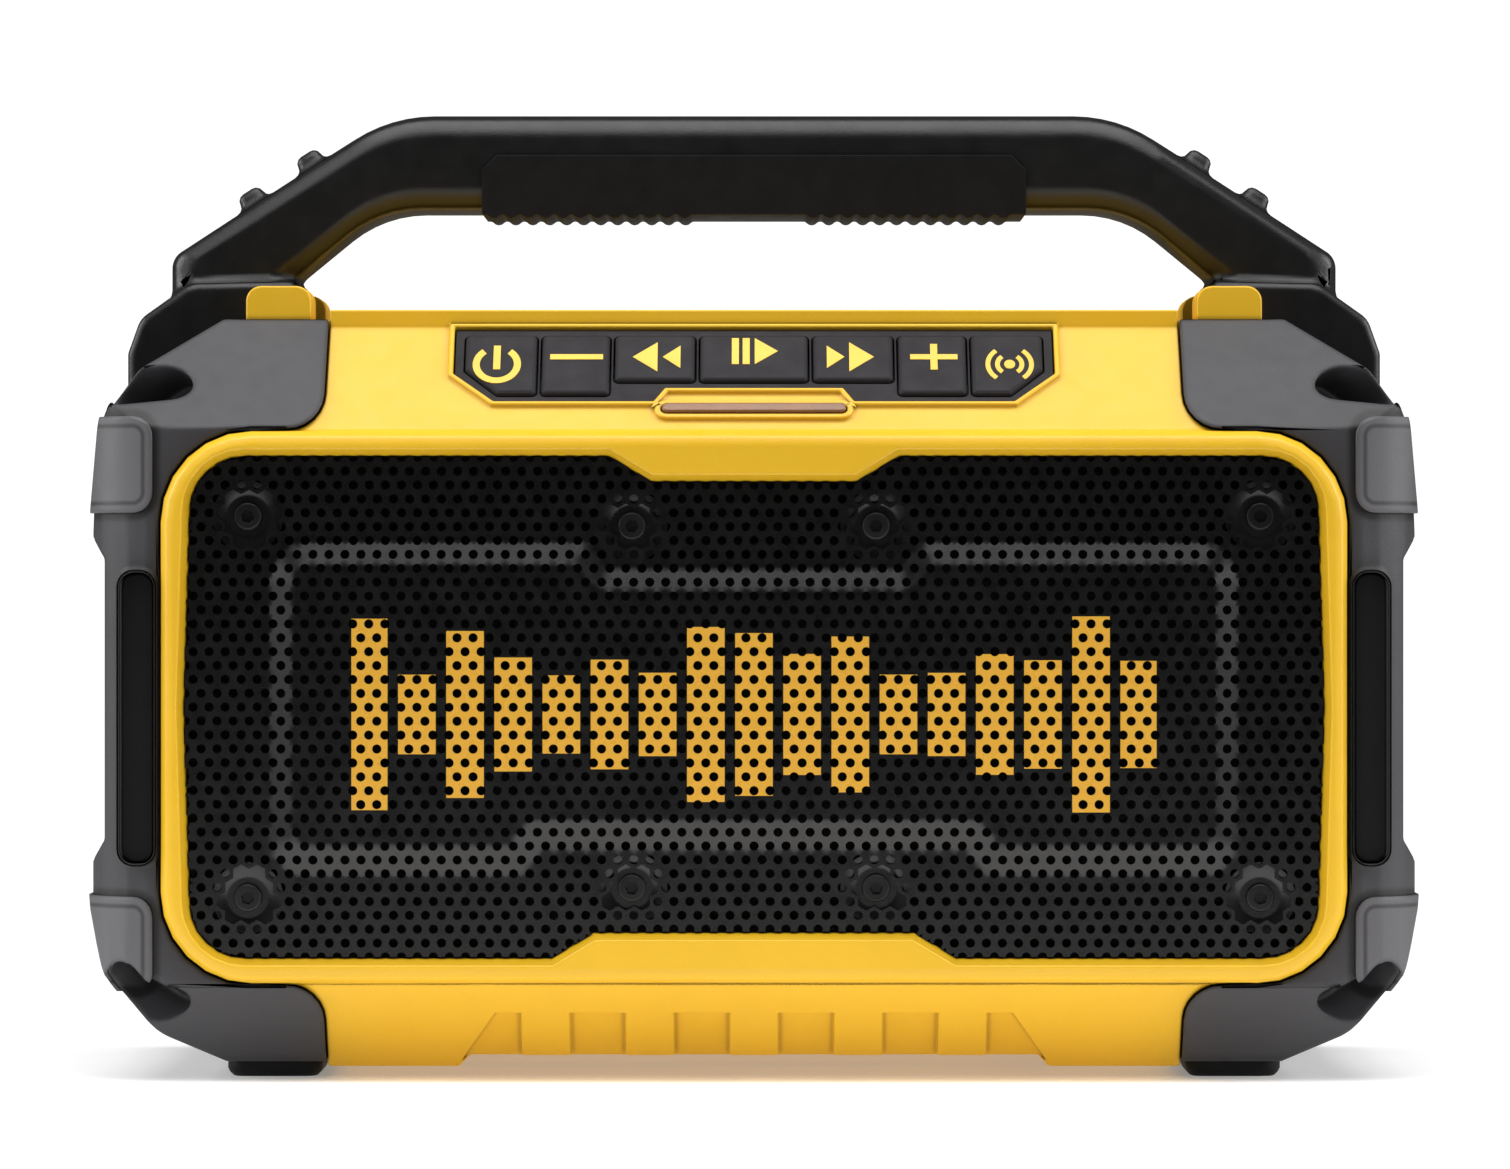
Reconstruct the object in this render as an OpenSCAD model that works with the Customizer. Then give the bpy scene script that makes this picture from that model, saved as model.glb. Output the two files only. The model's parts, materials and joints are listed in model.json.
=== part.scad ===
// Jobsite speaker: +X to the right, grille towards -Y, +Z up, origin midway between the feet

/* [Housing] */
// Width of the housing under the end caps
housing_w = 240; // [232:1:250]
// Width of the open middle between the end caps
middle_w = 169.2; // [160:0.2:174]
// Depth between the flat front and rear walls
housing_d = 116; // [110:1:126]
// Height of the housing's underside above the floor
base_z = 4.5; // [4:0.1:6]
// Height of the top edge of the chin slope
chin_z = 19.4; // [18:0.2:21]
// Depth of the chin slope
chin_run = 14; // [12:0.5:16]
// Height where the keypad slope starts
slope_low_z = 128.2; // [126:0.2:131]
// Rise of the keypad slope
slope_rise = 20.9; // [20:0.1:22]
// Depth of the keypad slope
slope_run = 22; // [21:0.5:24]
// Height of the lip above the keypad slope
lip_h = 3.6; // [3:0.2:6]
// Wall of both housings
wall = 3; // [2.6:0.1:3.4]
// Chamfer of the housing's four corners under the caps
corner_cut = 28; // [24:1:30]
// Thickness of the seal between the two housings
seal_t = 1; // [0.8:0.1:1.6]
// Height of the skids beside the chin above the floor
skid_z = 2.2; // [1.5:0.1:3]
// Distance of the skids from the middle
skid_x = 56.4; // [52:0.2:62]

/* [Front ring] */
// Distance from the housing's end to the ring round the grille
ring_margin = 3.3; // [2:0.1:5]
// Radius of the ring's outer corners
ring_r = 18; // [15:0.5:20]
// Height of the ring in front of the front wall
ring_rise = 4.5; // [3:0.5:5]
// Width of the ring's rounded outer edge
ring_bevel = 2.6; // [2:0.2:2.8]
// Width of the ring's inner bevel
ring_lip = 1.2; // [1:0.1:1.4]
// Width of the ring at the sides
ring_side = 4.6; // [4.4:0.1:6]
// Width of the ring at the top and bottom
ring_band = 5; // [4.6:0.1:6]
// Radius of the opening's corners
opening_r = 11; // [9:0.5:13]
// Bow of the opening's sides
opening_bow = 1.4; // [0.5:0.1:1.6]
// Height of the tab at the top of the opening
top_tab_h = 5; // [3:0.5:6]
// Half width of the top tab at its end
top_tab_half = 20.3; // [18:0.1:22]
// Height of the tab at the bottom of the opening
low_tab_h = 5; // [3:0.5:6]
// Half width of the bottom tab at its end
low_tab_half = 31.5; // [28:0.5:34]
// Run of the tabs' slanted ends
tab_run = 8.3; // [6:0.1:9]

/* [End caps] */
// How far the caps stand proud of the housing
cap_proud = 1.2; // [0.8:0.1:1.6]
// Thickness of the caps over the housing, without what stands proud
cap_t = 3; // [2.5:0.1:3.5]
// Reach of the caps past the housing's end
cap_reach = 11.2; // [10:0.2:13]
// Step inwards of the caps' waist
waist_step = 3; // [2:0.2:4]
// Lower edge of the waist
waist_low_z = 47.5; // [45:0.5:52]
// Upper edge of the waist
waist_high_z = 103; // [98:0.5:105]
// Radius of the caps' upright edges
cap_edge_r = 16; // [12:0.5:18]
// Gap between the caps and what they surround
cap_gap = 0.3; // [0.2:0.05:0.5]
// Radius of the caps' inner corners beside the ring
flange_r = 7; // [3:0.5:9]
// Thickness of the corner pads
pad_t = 0.8; // [0.6:0.1:1.2]
// Height of the corner pads
pad_h = 19; // [16:0.5:20]
// Depth of the corner pads from the front or rear face
pad_d = 30; // [24:1:34]
// Half width of the eye-shaped screw recesses in the corners
recess_r = 4.8; // [4.4:0.1:5]
// Half length of the eye-shaped recesses
recess_half = 8.5; // [7:0.25:9]
// Depth of the screw recesses
recess_depth = 7; // [6:0.5:8]
// Depth of the side strips' pocket
strip_pocket = 3; // [2:0.5:3.4]
// Thickness of the side strips
strip_t = 1.6; // [1:0.2:2]
// Width of the side strips
strip_w = 6.2; // [5:0.2:7]
// Rise of the rim round the side strips
strip_rim_h = 0.8; // [0.5:0.1:0.8]

/* [Feet] */
// Width of a foot
foot_w = 19; // [16:0.5:20]
// Depth of a foot
foot_d = 24; // [18:0.5:28]
// Radius of a foot's corners
foot_r = 4; // [2:0.5:6]
// Distance between the front and rear feet
foot_pitch = 56; // [48:1:60]

/* [Handle] */
// Height of the handle above the housing's top
handle_rise = 40.2; // [36:0.2:48]
// Height of the grip bar
bar_h = 19.2; // [17:0.2:21]
// Depth of the handle
handle_d = 30; // [26:0.5:33]
// Depth of the handle's feet
handle_foot_d = 35; // [34:0.5:36]
// Half length of the handle's top between its bends
handle_top_half = 73.6; // [68:0.2:76]
// Length of the grip sleeve
sleeve_l = 110; // [100:1:116]
// Thickness of the grip sleeve
sleeve_t = 1; // [0.8:0.1:1.6]
// Height of the grip sleeve
sleeve_h = 12; // [10:0.5:14]
// Spacing of the ribs under the sleeve
rib_pitch = 3.5; // [3:0.1:5]
// Height of the ribs under the sleeve
rib_h = 0.8; // [0.5:0.1:1.2]
// Smooth length between the two groups of ribs
rib_gap = 21; // [14:1:28]

/* [Grille] */
// Thickness of the grille sheet
sheet_t = 1; // [0.8:0.1:1.2]
// Rise of the formed middle of the grille
crown_rise = 2.4; // [1.6:0.1:2.6]
// Run of the slope round the formed middle
crown_run = 5.6; // [4.5:0.1:7]
// Margin between the opening's edge and the formed middle
crown_margin = 16.4; // [15:0.1:18]
// Spacing of the holes
hole_pitch = 6.3; // [6:0.1:9]
// Diameter of the holes
hole_d = 3.7; // [2.5:0.1:4]
// Gap between the grille and the opening
grille_gap = 0.3; // [0.2:0.05:0.5]
// Diameter of the dimples round the grille screws
dimple_d = 12; // [11:0.5:12.5]
// Depth of the dimples
dimple_depth = 1.2; // [0.8:0.1:1.4]

/* [Keypad] */
// Distance from the slope's lower edge to the keypad
keypad_low = 8.1; // [8:0.1:9]
// Distance from the keypad to the lip above it
keypad_gap = 0.8; // [0.6:0.1:2]
// Cut of the keypad's lower corners
keypad_cut = 8; // [6:0.1:9]
// Depth of the step over the status lens
keypad_step = 3.9; // [2:0.1:4.2]
// Half width of the step over the status lens
keypad_step_half = 17.8; // [16:0.1:19]
// Thickness of the keypad bezel
bezel_t = 2; // [1.6:0.1:2.2]
// Width of the bezel's edge round the keys
bezel_rim = 2; // [1.9:0.1:2.3]
// Bar between two keys
key_bar = 1; // [0.8:0.1:1.4]
// Width of the play key
play_w = 21.4; // [19:0.1:23]
// Width of the back and forward keys with one bar
skip_pitch = 16.9; // [15:0.1:18]
// Width of the volume keys with one bar
volume_pitch = 14.5; // [13:0.1:15]
// Width of the outer keys
outer_key_w = 14.2; // [12:0.1:15]
// Height of the keys above the bezel
key_rise = 0.8; // [0.4:0.1:1.2]
// Travel of the keys
key_travel = 0.8; // [0.5:0.1:0.9]
// Clearance round the keys
key_gap = 0.3; // [0.2:0.05:0.4]
// Half length of the status lens
lens_half = 18.3; // [14:0.1:20]
// Height of the status lens
lens_h = 2.7; // [2.4:0.1:3]
// Distance from the keypad's step down to the middle of the lens
lens_drop = 6.5; // [6.2:0.1:6.8]

/* [Drivers] */
// Distance of each driver from the middle
driver_x = 54; // [52:0.5:58]
// Outer diameter of a driver's flange
driver_d = 82; // [76:0.5:86]
// Diameter of the hole in the baffle
driver_hole_d = 73; // [68:0.5:73.6]
// Depth of the basket
basket_depth = 27; // [24:0.5:30]
// Diameter of the magnet
magnet_d = 56; // [46:1:60]
// Thickness of the magnet
magnet_t = 14; // [10:0.5:16]
// Diameter of the voice coil
coil_d = 20; // [18:0.5:24]
// Thickness of the baffle
baffle_t = 4; // [3:0.5:5]
// Thickness of the acoustic cloth
cloth_t = 0.5; // [0.4:0.1:0.8]

/* [Battery dock] */
// Width of the battery bay
bay_w = 80; // [76:1:84]
// Depth of the battery bay
bay_d = 32; // [28:1:36]
// Height of the bay's floor
bay_z = 30; // [26:1:36]
// Height of the dock plate
dock_h = 91.7; // [86:0.1:94]
// Thickness of the dock plate
dock_t = 3; // [2.5:0.25:4]
// Distance between the rails' outer faces
rail_w = 56; // [50:1:60]
// Height of the rails above the plate
rail_h = 7; // [5:0.5:8]
// Length of the rails
rail_l = 70; // [50:1:76]

/* [Ports] */
// Width of the port recess
port_w = 28; // [26:0.5:30]
// Height of the port recess
port_h = 16; // [14:0.5:18]
// Depth of the port recess
port_depth = 4; // [3.5:0.1:5]
// Height of the port recess above the floor
port_z = 52; // [44:1:60]
// Radius of the line-in bore
line_r = 1.8; // [1.75:0.01:1.85]
// Radius of the power inlet's bore
inlet_r = 2.8; // [2.6:0.05:3]

/* [Fasteners] */
// Radius of the screws' shanks
screw_r = 1.5; // [1.2:0.1:1.8]
// Clearance round the shanks
screw_gap = 0.1; // [0.05:0.05:0.2]
// Radius of the screws' heads
head_r = 2.75; // [2.4:0.05:3]
// Thickness of the screws' heads
head_t = 1.6; // [1.2:0.1:2]

/* [Hidden] */
$fn = 48;
yellow = "#f5bc20";
cap_grey = "#58565a";
pad_grey = "#6c6a6e";
black = "#1e1e1f";
rubber = "#2a292b";
key_grey = "#4b484b";
steel = "#b8bbbf";
board_green = "#1f5a3c";
arc_n = 6;
eps = 0.01;

// Places that follow from the sizes above
front_y = -housing_d / 2;
half_w = housing_w / 2;
slope_high_z = slope_low_z + slope_rise;
top_z = slope_high_z + lip_h;
section_step = 0.5;
section_top_z = slope_high_z + section_step;
ring_w = housing_w - 2 * ring_margin;
slope_a = atan2(slope_rise, slope_run);
chin_a = 180 - atan2(chin_z - base_z, chin_run);
lip_y = front_y + slope_run;
inner_front_y = front_y + wall;
ring_front_y = front_y - ring_rise;
ring_skirt = 1;
ring_back_y = inner_front_y + ring_skirt;
mid_z = (chin_z + slope_low_z) / 2;
core_low_z = base_z + cap_t;
core_top_z = section_top_z - cap_t;
cap_bottom_z = base_z - cap_proud;
cap_front_y = front_y - cap_proud;
baffle_back_y = inner_front_y + baffle_t;
grille_proud = 0.6;
grille_y = front_y - grille_proud;
seam_y = seal_t / 2;
bay_floor_y = housing_d / 2 - bay_d;
dock_face_y = bay_floor_y + dock_t;

// Turned copy of a plane vector
function turned(v, a) = [v.x * cos(a) - v.y * sin(a), v.x * sin(a) + v.y * cos(a)];
function unit(v) = v / norm(v);
function total(list, i = 0) = i == len(list) - 1 ? list[i] : list[i] + total(list, i + 1);
function mirrored(points) = [for (i = [len(points) - 1:-1:0])
    let (p = points[i])
    len(p) == 3 ? [-p.x, p.y, p.z] : [-p.x, p.y]];
function flat(points) = [for (p = points) [p.x, p.y]];

// Arc of radius r that rounds the corner b between a and c
function corner_arc(a, b, c, r) =
    let (
        to_a = unit(a - b),
        to_c = unit(c - b),
        half = acos(to_a * to_c) / 2,
        centre = b + unit(to_a + to_c) * r / sin(half),
        start = b + to_a * r / tan(half) - centre,
        side = to_a.x * to_c.y - to_a.y * to_c.x > 0 ? -1 : 1
    )
    [for (i = [0:arc_n]) centre + turned(start, side * (180 - 2 * half) * i / arc_n)];

// Closed outline whose corners [x, y, r] are rounded by r
function outline(corners) =
    let (n = len(corners), p = flat(corners))
    [for (i = [0:n - 1])
        let (r = corners[i].z)
        each r > 0 ? corner_arc(p[(i + n - 1) % n], p[i], p[(i + 1) % n], r) : [p[i]]];

// Open line whose inner corners [x, y, r] are rounded by r
function bent_line(corners) =
    let (n = len(corners), p = flat(corners))
    [for (i = [0:n - 1])
        each corners[i].z > 0 ? corner_arc(p[i - 1], p[i], p[i + 1], corners[i].z) : [p[i]]];

// Closed anticlockwise outline moved inwards by d
function inset(points, d) =
    let (n = len(points))
    [for (i = [0:n - 1])
        let (
            e = unit(points[i] - points[(i + n - 1) % n]),
            f = unit(points[(i + 1) % n] - points[i]),
            left_e = [-e.y, e.x],
            left_f = [-f.y, f.x]
        )
        points[i] + (left_e + left_f) * d / (1 + left_e * left_f)];

function rectangle(x0, x1, y0, y1, r) = outline([[x0, y0, r], [x1, y0, r], [x1, y1, r], [x0, y1, r]]);

// True where point p lies inside an outline
function within(p, points) =
    let (
        n = len(points),
        hits = [for (i = [0:n - 1])
            let (a = points[i], b = points[(i + 1) % n])
            if ((a.y > p.y) != (b.y > p.y) && p.x < a.x + (b.x - a.x) * (p.y - a.y) / (b.y - a.y)) 1]
    )
    len(hits) % 2 == 1;

// Solid from an [x, z] outline between two depths
module along_y(y0, y1) {
    translate([0, y1, 0]) rotate([90, 0, 0]) linear_extrude(y1 - y0) children();
}

// Solid from a [y, z] outline between two widths
module along_x(x0, x1) {
    translate([x0, 0, 0]) rotate([90, 0, 90]) linear_extrude(x1 - x0) children();
}

// Solid through rings of points that all have one length, closed by a fan at each end
module skin(rings) {
    n = len(rings[0]);
    last = len(rings) - 1;
    points = [for (ring = rings) each ring, total(rings[0]) / n, total(rings[last]) / n];
    first_mid = n * (last + 1);
    sides = [for (k = [0:last - 1], i = [0:n - 1])
        let (j = (i + 1) % n)
        each [[k * n + i, k * n + j, k * n + n + i], [k * n + j, k * n + n + j, k * n + n + i]]];
    start = [for (i = [0:n - 1]) [first_mid, (i + 1) % n, i]];
    end = [for (i = [0:n - 1]) [first_mid + 1, last * n + i, last * n + (i + 1) % n]];
    polyhedron(points, concat(sides, start, end), convexity = 6);
}

// Closed band through rings of points that all have one length, the last one joined to the first
module ring_skin(rings) {
    n = len(rings[0]);
    m = len(rings);
    sides = [for (k = [0:m - 1], i = [0:n - 1])
        let (j = (i + 1) % n, a = k * n, b = (k + 1) % m * n)
        each [[a + i, a + j, b + i], [a + j, b + j, b + i]]];
    polyhedron([for (ring = rings) each ring], sides, convexity = 6);
}

// Ring of points at depth y from an [x, z] outline
function at_depth(points, y) = [for (p = points) [p.x, y, p.y]];

module both_sides() {
    children();
    mirror([1, 0, 0]) children();
}

module both_ends() {
    children();
    mirror([0, 1, 0]) children();
}

// Frame on the keypad slope: x across, y up the slope, z outwards, from the slope's lower edge
module on_slope() {
    translate([0, front_y, slope_low_z]) rotate([slope_a, 0, 0]) children();
}

// Frame on the chin slope: x across, y up the slope, z outwards, from the slope's upper edge
module on_chin() {
    translate([0, front_y, chin_z]) rotate([chin_a, 0, 0]) children();
}

// Outlines of the housing, seen from the side
section_low_y = -front_y - chin_run;
section_high_y = -front_y - (section_top_z - slope_low_z) * slope_run / slope_rise;
section_start = [
    [front_y, slope_low_z], [front_y, chin_z], [-section_low_y, base_z],
    [section_low_y, base_z], [-front_y, chin_z], [-front_y, slope_low_z]
];
section = concat(section_start, [[section_high_y, section_top_z], [-section_high_y, section_top_z]]);
middle_section = concat(section_start,
    [[-lip_y, slope_high_z], [-lip_y, top_z], [lip_y, top_z], [lip_y, slope_high_z]]);

// Outline of the housing under the caps, seen from the front
core = [
    [-half_w + corner_cut, core_low_z], [half_w - corner_cut, core_low_z],
    [half_w, core_low_z + corner_cut], [half_w, core_top_z - corner_cut],
    [half_w - corner_cut, core_top_z], [-half_w + corner_cut, core_top_z],
    [-half_w, core_top_z - corner_cut], [-half_w, core_low_z + corner_cut]
];

// Front ring and the opening inside it
ring = rectangle(-ring_w / 2, ring_w / 2, chin_z, slope_low_z, ring_r);
opening_half = ring_w / 2 - ring_side;
opening_low_z = chin_z + ring_band;
opening_high_z = slope_low_z - ring_band;
opening_right = [
    [low_tab_half, opening_low_z + low_tab_h, 0], [low_tab_half + tab_run, opening_low_z, 0],
    [opening_half - opening_bow, opening_low_z, opening_r], [opening_half, mid_z, 0],
    [opening_half - opening_bow, opening_high_z, opening_r],
    [top_tab_half + tab_run, opening_high_z, 0], [top_tab_half, opening_high_z - top_tab_h, 0]
];
opening = outline(concat(opening_right, mirrored(opening_right)));

// Formed middle of the grille, with a jog under each tab
crown_half = opening_half - crown_margin;
crown_low_z = opening_low_z + crown_margin;
crown_high_z = opening_high_z - crown_margin;
jog_run = 4;
low_jog_more = 2;
low_jog_half = low_tab_half + tab_run + low_jog_more;
top_jog_half = top_tab_half + tab_run;
crown_r = 8;
crown_right = [
    [low_jog_half, crown_low_z + low_tab_h, 0], [low_jog_half + jog_run, crown_low_z, 0],
    [crown_half, crown_low_z, crown_r], [crown_half, crown_high_z, crown_r],
    [top_jog_half + jog_run, crown_high_z, 0], [top_jog_half, crown_high_z - top_tab_h, 0]
];
crown = outline(concat(crown_right, mirrored(crown_right)));

// Centres of the grille screws
screw_edge_x = 12.6;
screw_edge_z = 11.9;
screw_inner_x = 24;
screw_inner_z = 13.8;
grille_screw_places = [for (side = [-1, 1])
    each [
        [side * (opening_half - screw_edge_x), opening_high_z - screw_edge_z],
        [side * screw_inner_x, opening_high_z - screw_inner_z],
        [side * (opening_half - screw_edge_x), opening_low_z + screw_edge_z],
        [side * screw_inner_x, opening_low_z + screw_inner_z]
    ]];

// Outline of the right end cap, seen from the front
cap_left_x = middle_w / 2 + cap_gap;
cap_x = half_w + cap_reach;
cap_top_z = section_top_z + cap_proud;
waist_x = cap_x - waist_step;
waist_run = 4.5;
far_z = 40;
low_slope_a = 24.6;
high_slope_a = 32.6;
low_turn_in = [13.7, 5.9];
low_bend_in = [3.7, 17.2];
low_side_h = 33;
high_bend_in = [2.6, 19.3];
high_turn_in = [9.3, 10.3];
low_turn = [cap_x - low_turn_in.x, cap_bottom_z + low_turn_in.y];
low_bend = [cap_x - low_bend_in.x, cap_bottom_z + low_bend_in.y];
low_side_z = cap_bottom_z + low_side_h;
high_bend = [cap_x - high_bend_in.x, cap_top_z - high_bend_in.y];
high_turn = [cap_x - high_turn_in.x, cap_top_z - high_turn_in.y];
turn_r = [10, 14, 6, 2, 10, 8];
cap_side = [
    [cap_left_x, low_turn.y - far_z, 0], [low_turn.x - far_z / tan(low_slope_a), low_turn.y - far_z, 0],
    [low_turn.x, low_turn.y, turn_r[0]], [low_bend.x, low_bend.y, turn_r[1]], [cap_x, low_side_z, turn_r[2]],
    [cap_x, waist_low_z - waist_run, turn_r[3]], [waist_x, waist_low_z, turn_r[3]],
    [waist_x, waist_high_z, turn_r[3]], [cap_x, waist_high_z + waist_run, turn_r[3]],
    [high_bend.x, high_bend.y, turn_r[4]], [high_turn.x, high_turn.y, turn_r[5]],
    [high_turn.x - far_z / tan(high_slope_a), high_turn.y + far_z, 0], [cap_left_x, high_turn.y + far_z, 0]
];
cap_outline = outline(cap_side);
cap_plan = rectangle(-cap_x, cap_x, cap_front_y, -cap_front_y, cap_edge_r);

// Room that the handle's foot takes between the front and rear of a cap
saddle_depth = 20;
saddle_low_z = core_top_z - saddle_depth;
saddle_half = handle_foot_d / 2 + cap_gap;

// Keypad outline on the slope, as wide as its keys need
key_edges = [
    play_w / 2 + key_bar / 2, play_w / 2 + key_bar / 2 + skip_pitch,
    play_w / 2 + key_bar / 2 + skip_pitch + volume_pitch
];
keypad_half = key_edges[2] + key_bar / 2 + outer_key_w + bezel_rim;
keypad_h = norm([slope_run, slope_rise]) - keypad_low - keypad_gap;
keypad_step_run = 2.2;
keypad_right = [
    [keypad_step_half, keypad_low + keypad_step], [keypad_step_half + keypad_step_run, keypad_low],
    [keypad_half - keypad_cut, keypad_low], [keypad_half, keypad_low + keypad_cut],
    [keypad_half, keypad_low + keypad_h]
];
keypad = concat(keypad_right, flat(mirrored(keypad_right)));
lens_mid_y = keypad_low + keypad_step - lens_drop;
key_low = keypad_low + bezel_rim;
key_high = keypad_low + keypad_h - bezel_rim;
play_low = keypad_low + keypad_step + bezel_rim;
flange_top = -bezel_t - key_gap;
flange_t = 1.2;
catch_w = 6;
catch_reach = 0.9;
switch_h = 1.6;
switch_w = 6;
stem_h = 0.8;
switch_gap = 0.2;
board_top = flange_top - flange_t - key_travel - stem_h - switch_h - switch_gap;

// Outline of the key number i, counted outwards from the play key, on the right side
key_r = 1;
key_cut = [0.6, 0.8];
function key_outline(i) =
    i == 0 ? rectangle(-play_w / 2, play_w / 2, play_low, key_high, key_r)
    : i == 3 ? outline([
        [key_edges[2] + key_bar / 2, key_low, key_r], [keypad_half - keypad_cut - key_cut.x, key_low, key_r],
        [keypad_half - bezel_rim, key_low + keypad_cut - key_cut.y, key_r],
        [keypad_half - bezel_rim, key_high, key_r], [key_edges[2] + key_bar / 2, key_high, key_r]])
    : rectangle(key_edges[i - 1] + key_bar / 2, key_edges[i] - key_bar / 2,
        i == 1 ? play_low : key_low, key_high, key_r);

screw_end = 0.4;
// Screw with its head's underside at z = 0 and its shank along -z
module screw(length, r = screw_r, head = head_r) {
    cylinder(h = head_t, r = head);
    translate([0, 0, -length]) cylinder(h = length + eps, r = r);
}

module screw_bore(length, r = screw_r) {
    translate([0, 0, -length]) cylinder(h = length, r = r + screw_gap);
}

// Housing screws go in from the rear, at the caps' inner ends
housing_post_r = 4.5;
housing_post_sink = 0.5;
housing_post_in = 8;
housing_screw_x = middle_w / 2 - housing_post_in;
housing_post_edge = wall + housing_post_r - housing_post_sink;
housing_screw_z = [base_z + housing_post_edge, top_z - housing_post_edge];
housing_head_y = 30;
housing_screw_l = 46;
module at_housing_screws() {
    for (x = [-housing_screw_x, housing_screw_x], z = housing_screw_z)
        translate([x, housing_head_y, z]) rotate([-90, 0, 0]) children();
}

// End cap screws sit in the recesses at the corners
cap_screw_dir = [0.55, -0.45, 0.7];
cap_screw_in = -0.4;
cap_screw_x = half_w - cap_screw_in;
cap_screw_drop = 13.2;
cap_screw_z = section_top_z - cap_screw_drop;
cap_screw_low = 12.2;
cap_screw_y = front_y + (cap_screw_z - slope_low_z) * slope_run / slope_rise;
cap_screw_low_y = front_y + (chin_z - base_z - cap_screw_low) * chin_run / (chin_z - base_z);
module at_corner(place, dir) {
    translate(place) rotate([0, acos(dir.z / norm(dir)), atan2(dir.y, dir.x)]) children();
}
eye_turn = 40;
module at_cap_corners() {
    both_ends() {
        at_corner([cap_screw_x, cap_screw_y, cap_screw_z], cap_screw_dir) rotate(eye_turn) children();
        at_corner([cap_screw_x, cap_screw_low_y, base_z + cap_screw_low],
            [cap_screw_dir.x, cap_screw_dir.y, -cap_screw_dir.z]) rotate(-eye_turn) children();
    }
}
cap_screw_l = 14;

// Room of a recess, grown sideways
eye_h = 40;
eye_flat = 0.2;
module eye(grow) {
    translate([0, 0, -recess_depth]) linear_extrude(eye_h)
        polygon(rectangle(-recess_half - grow, recess_half + grow, -recess_r - grow, recess_r + grow,
            recess_r + grow - eye_flat));
}

// Handle screws go out through the chamfered corners of the housing
handle_screw_y = 9;
handle_screw_l = 12;
handle_screw_up = 4;
module at_handle_screws() {
    both_sides() both_ends()
        translate([half_w - corner_cut / 2 - handle_screw_up, handle_screw_y,
            core_top_z - corner_cut / 2 + handle_screw_up])
            rotate([0, -135, 0]) translate([0, 0, wall + eps]) children();
}

// Outer form of the right end cap, moved outwards by grow
module cap_form(grow) {
    intersection() {
        along_y(cap_front_y - grow, -cap_front_y + grow) polygon(inset(cap_outline, -grow));
        along_x(cap_left_x, cap_x + grow) polygon(inset(section, -cap_proud - grow));
        translate([0, 0, cap_bottom_z - 2]) linear_extrude(cap_top_z - cap_bottom_z + 4)
            polygon(inset(cap_plan, -grow));
    }
}

module core_form(shrink) {
    intersection() {
        along_x(-half_w, half_w) polygon(inset(section, cap_t + shrink));
        along_y(front_y, -front_y) polygon(inset(core, shrink));
    }
}

// Shell of both housings before they are split
boss_in = 3.8;
boss_w = 13;
boss_low_x = middle_w / 2 + boss_in;
boss_high_x = boss_low_x + boss_w;
boss_h = 4.8;
boss_r = 3;
boss_sink = 4;
boss_front_y = lip_y + 1;
boss_root_x = middle_w / 2 - 2;
module housing_blank() {
    core_form(0);
    along_x(-middle_w / 2, middle_w / 2) polygon(middle_section);
    both_sides() both_ends()
        along_y(boss_front_y, -saddle_half - cap_gap)
            polygon(outline([
                [boss_root_x, core_top_z - boss_sink, 0], [boss_high_x, core_top_z - boss_sink, 0],
                [boss_high_x, top_z + boss_h, boss_r], [boss_low_x, top_z + boss_h, boss_r],
                [boss_low_x, core_top_z + boss_sink, 0], [boss_root_x, core_top_z + boss_sink, 0]
            ]));
    both_sides() skid();
    both_sides() both_ends() intersection() {
        along_x(boss_root_x, cap_left_x + flange_r) polygon(section);
        along_y(front_y - 1, -saddle_half) {
            polygon(flange_corner(slope_low_z, 1, cap_gap));
            polygon(flange_corner(chin_z, -1, cap_gap));
        }
    }
}

// Skid beside the chin, which carries the chin's slope further down
skid_slant = 2.2;
skid_root = 1;
module skid() {
    run = (base_z - skid_z) * chin_run / (chin_z - base_z);
    intersection() {
        along_y(front_y, -front_y)
            polygon([[skid_x + skid_slant, skid_z], [middle_w / 2, skid_z],
                [middle_w / 2, base_z + skid_root],
                [skid_x - skid_slant * skid_root / (base_z - skid_z), base_z + skid_root]]);
        along_x(0, middle_w / 2)
            polygon([[-section_low_y + run, skid_z], [section_low_y - run, skid_z],
                [section_low_y, base_z], [section_low_y, base_z + skid_root],
                [-section_low_y, base_z + skid_root], [-section_low_y, base_z]]);
    }
}

// Piece of the housing that fills a cap's rounded corner at height z, upwards for up = 1
flange_root = 2;
function flange_corner(z, up, gap) =
    let (
        middle = [cap_left_x + flange_r, z + up * (cap_gap + flange_r)],
        r = flange_r + gap,
        points = concat(
            [[boss_root_x, z - up * flange_root], [middle.x, z - up * flange_root]],
            [for (i = [0:arc_n]) middle - r * [sin(90 * i / arc_n), up * cos(90 * i / arc_n)]],
            [[boss_root_x, middle.y]])
    )
    up > 0 ? points : [for (i = [len(points) - 1:-1:0]) points[i]];

module housing_hollow() {
    core_form(wall);
    along_x(-middle_w / 2 + wall, middle_w / 2 - wall) polygon(inset(middle_section, wall));
}

chin_rib_w = 9.7;
chin_rib_pitch = 20.6;
chin_recess_t = 1.5;
chin_recess_y = [-8.5, -22];
chin_recess_half = [51, 58];
chin_rib_l = 24;
module chin_recess() {
    on_chin() difference() {
        translate([0, 0, -chin_recess_t]) linear_extrude(chin_recess_t + 1)
            polygon([for (i = [[-1, 0], [-1, 1], [1, 1], [1, 0]])
                [i.x * chin_recess_half[i.y], chin_recess_y[i.y]]]);
        for (i = [-2:2])
            translate([i * chin_rib_pitch - chin_rib_w / 2, -chin_rib_l, -chin_recess_t - 1])
                cube([chin_rib_w, chin_rib_l, chin_recess_t + 3]);
    }
}

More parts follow.
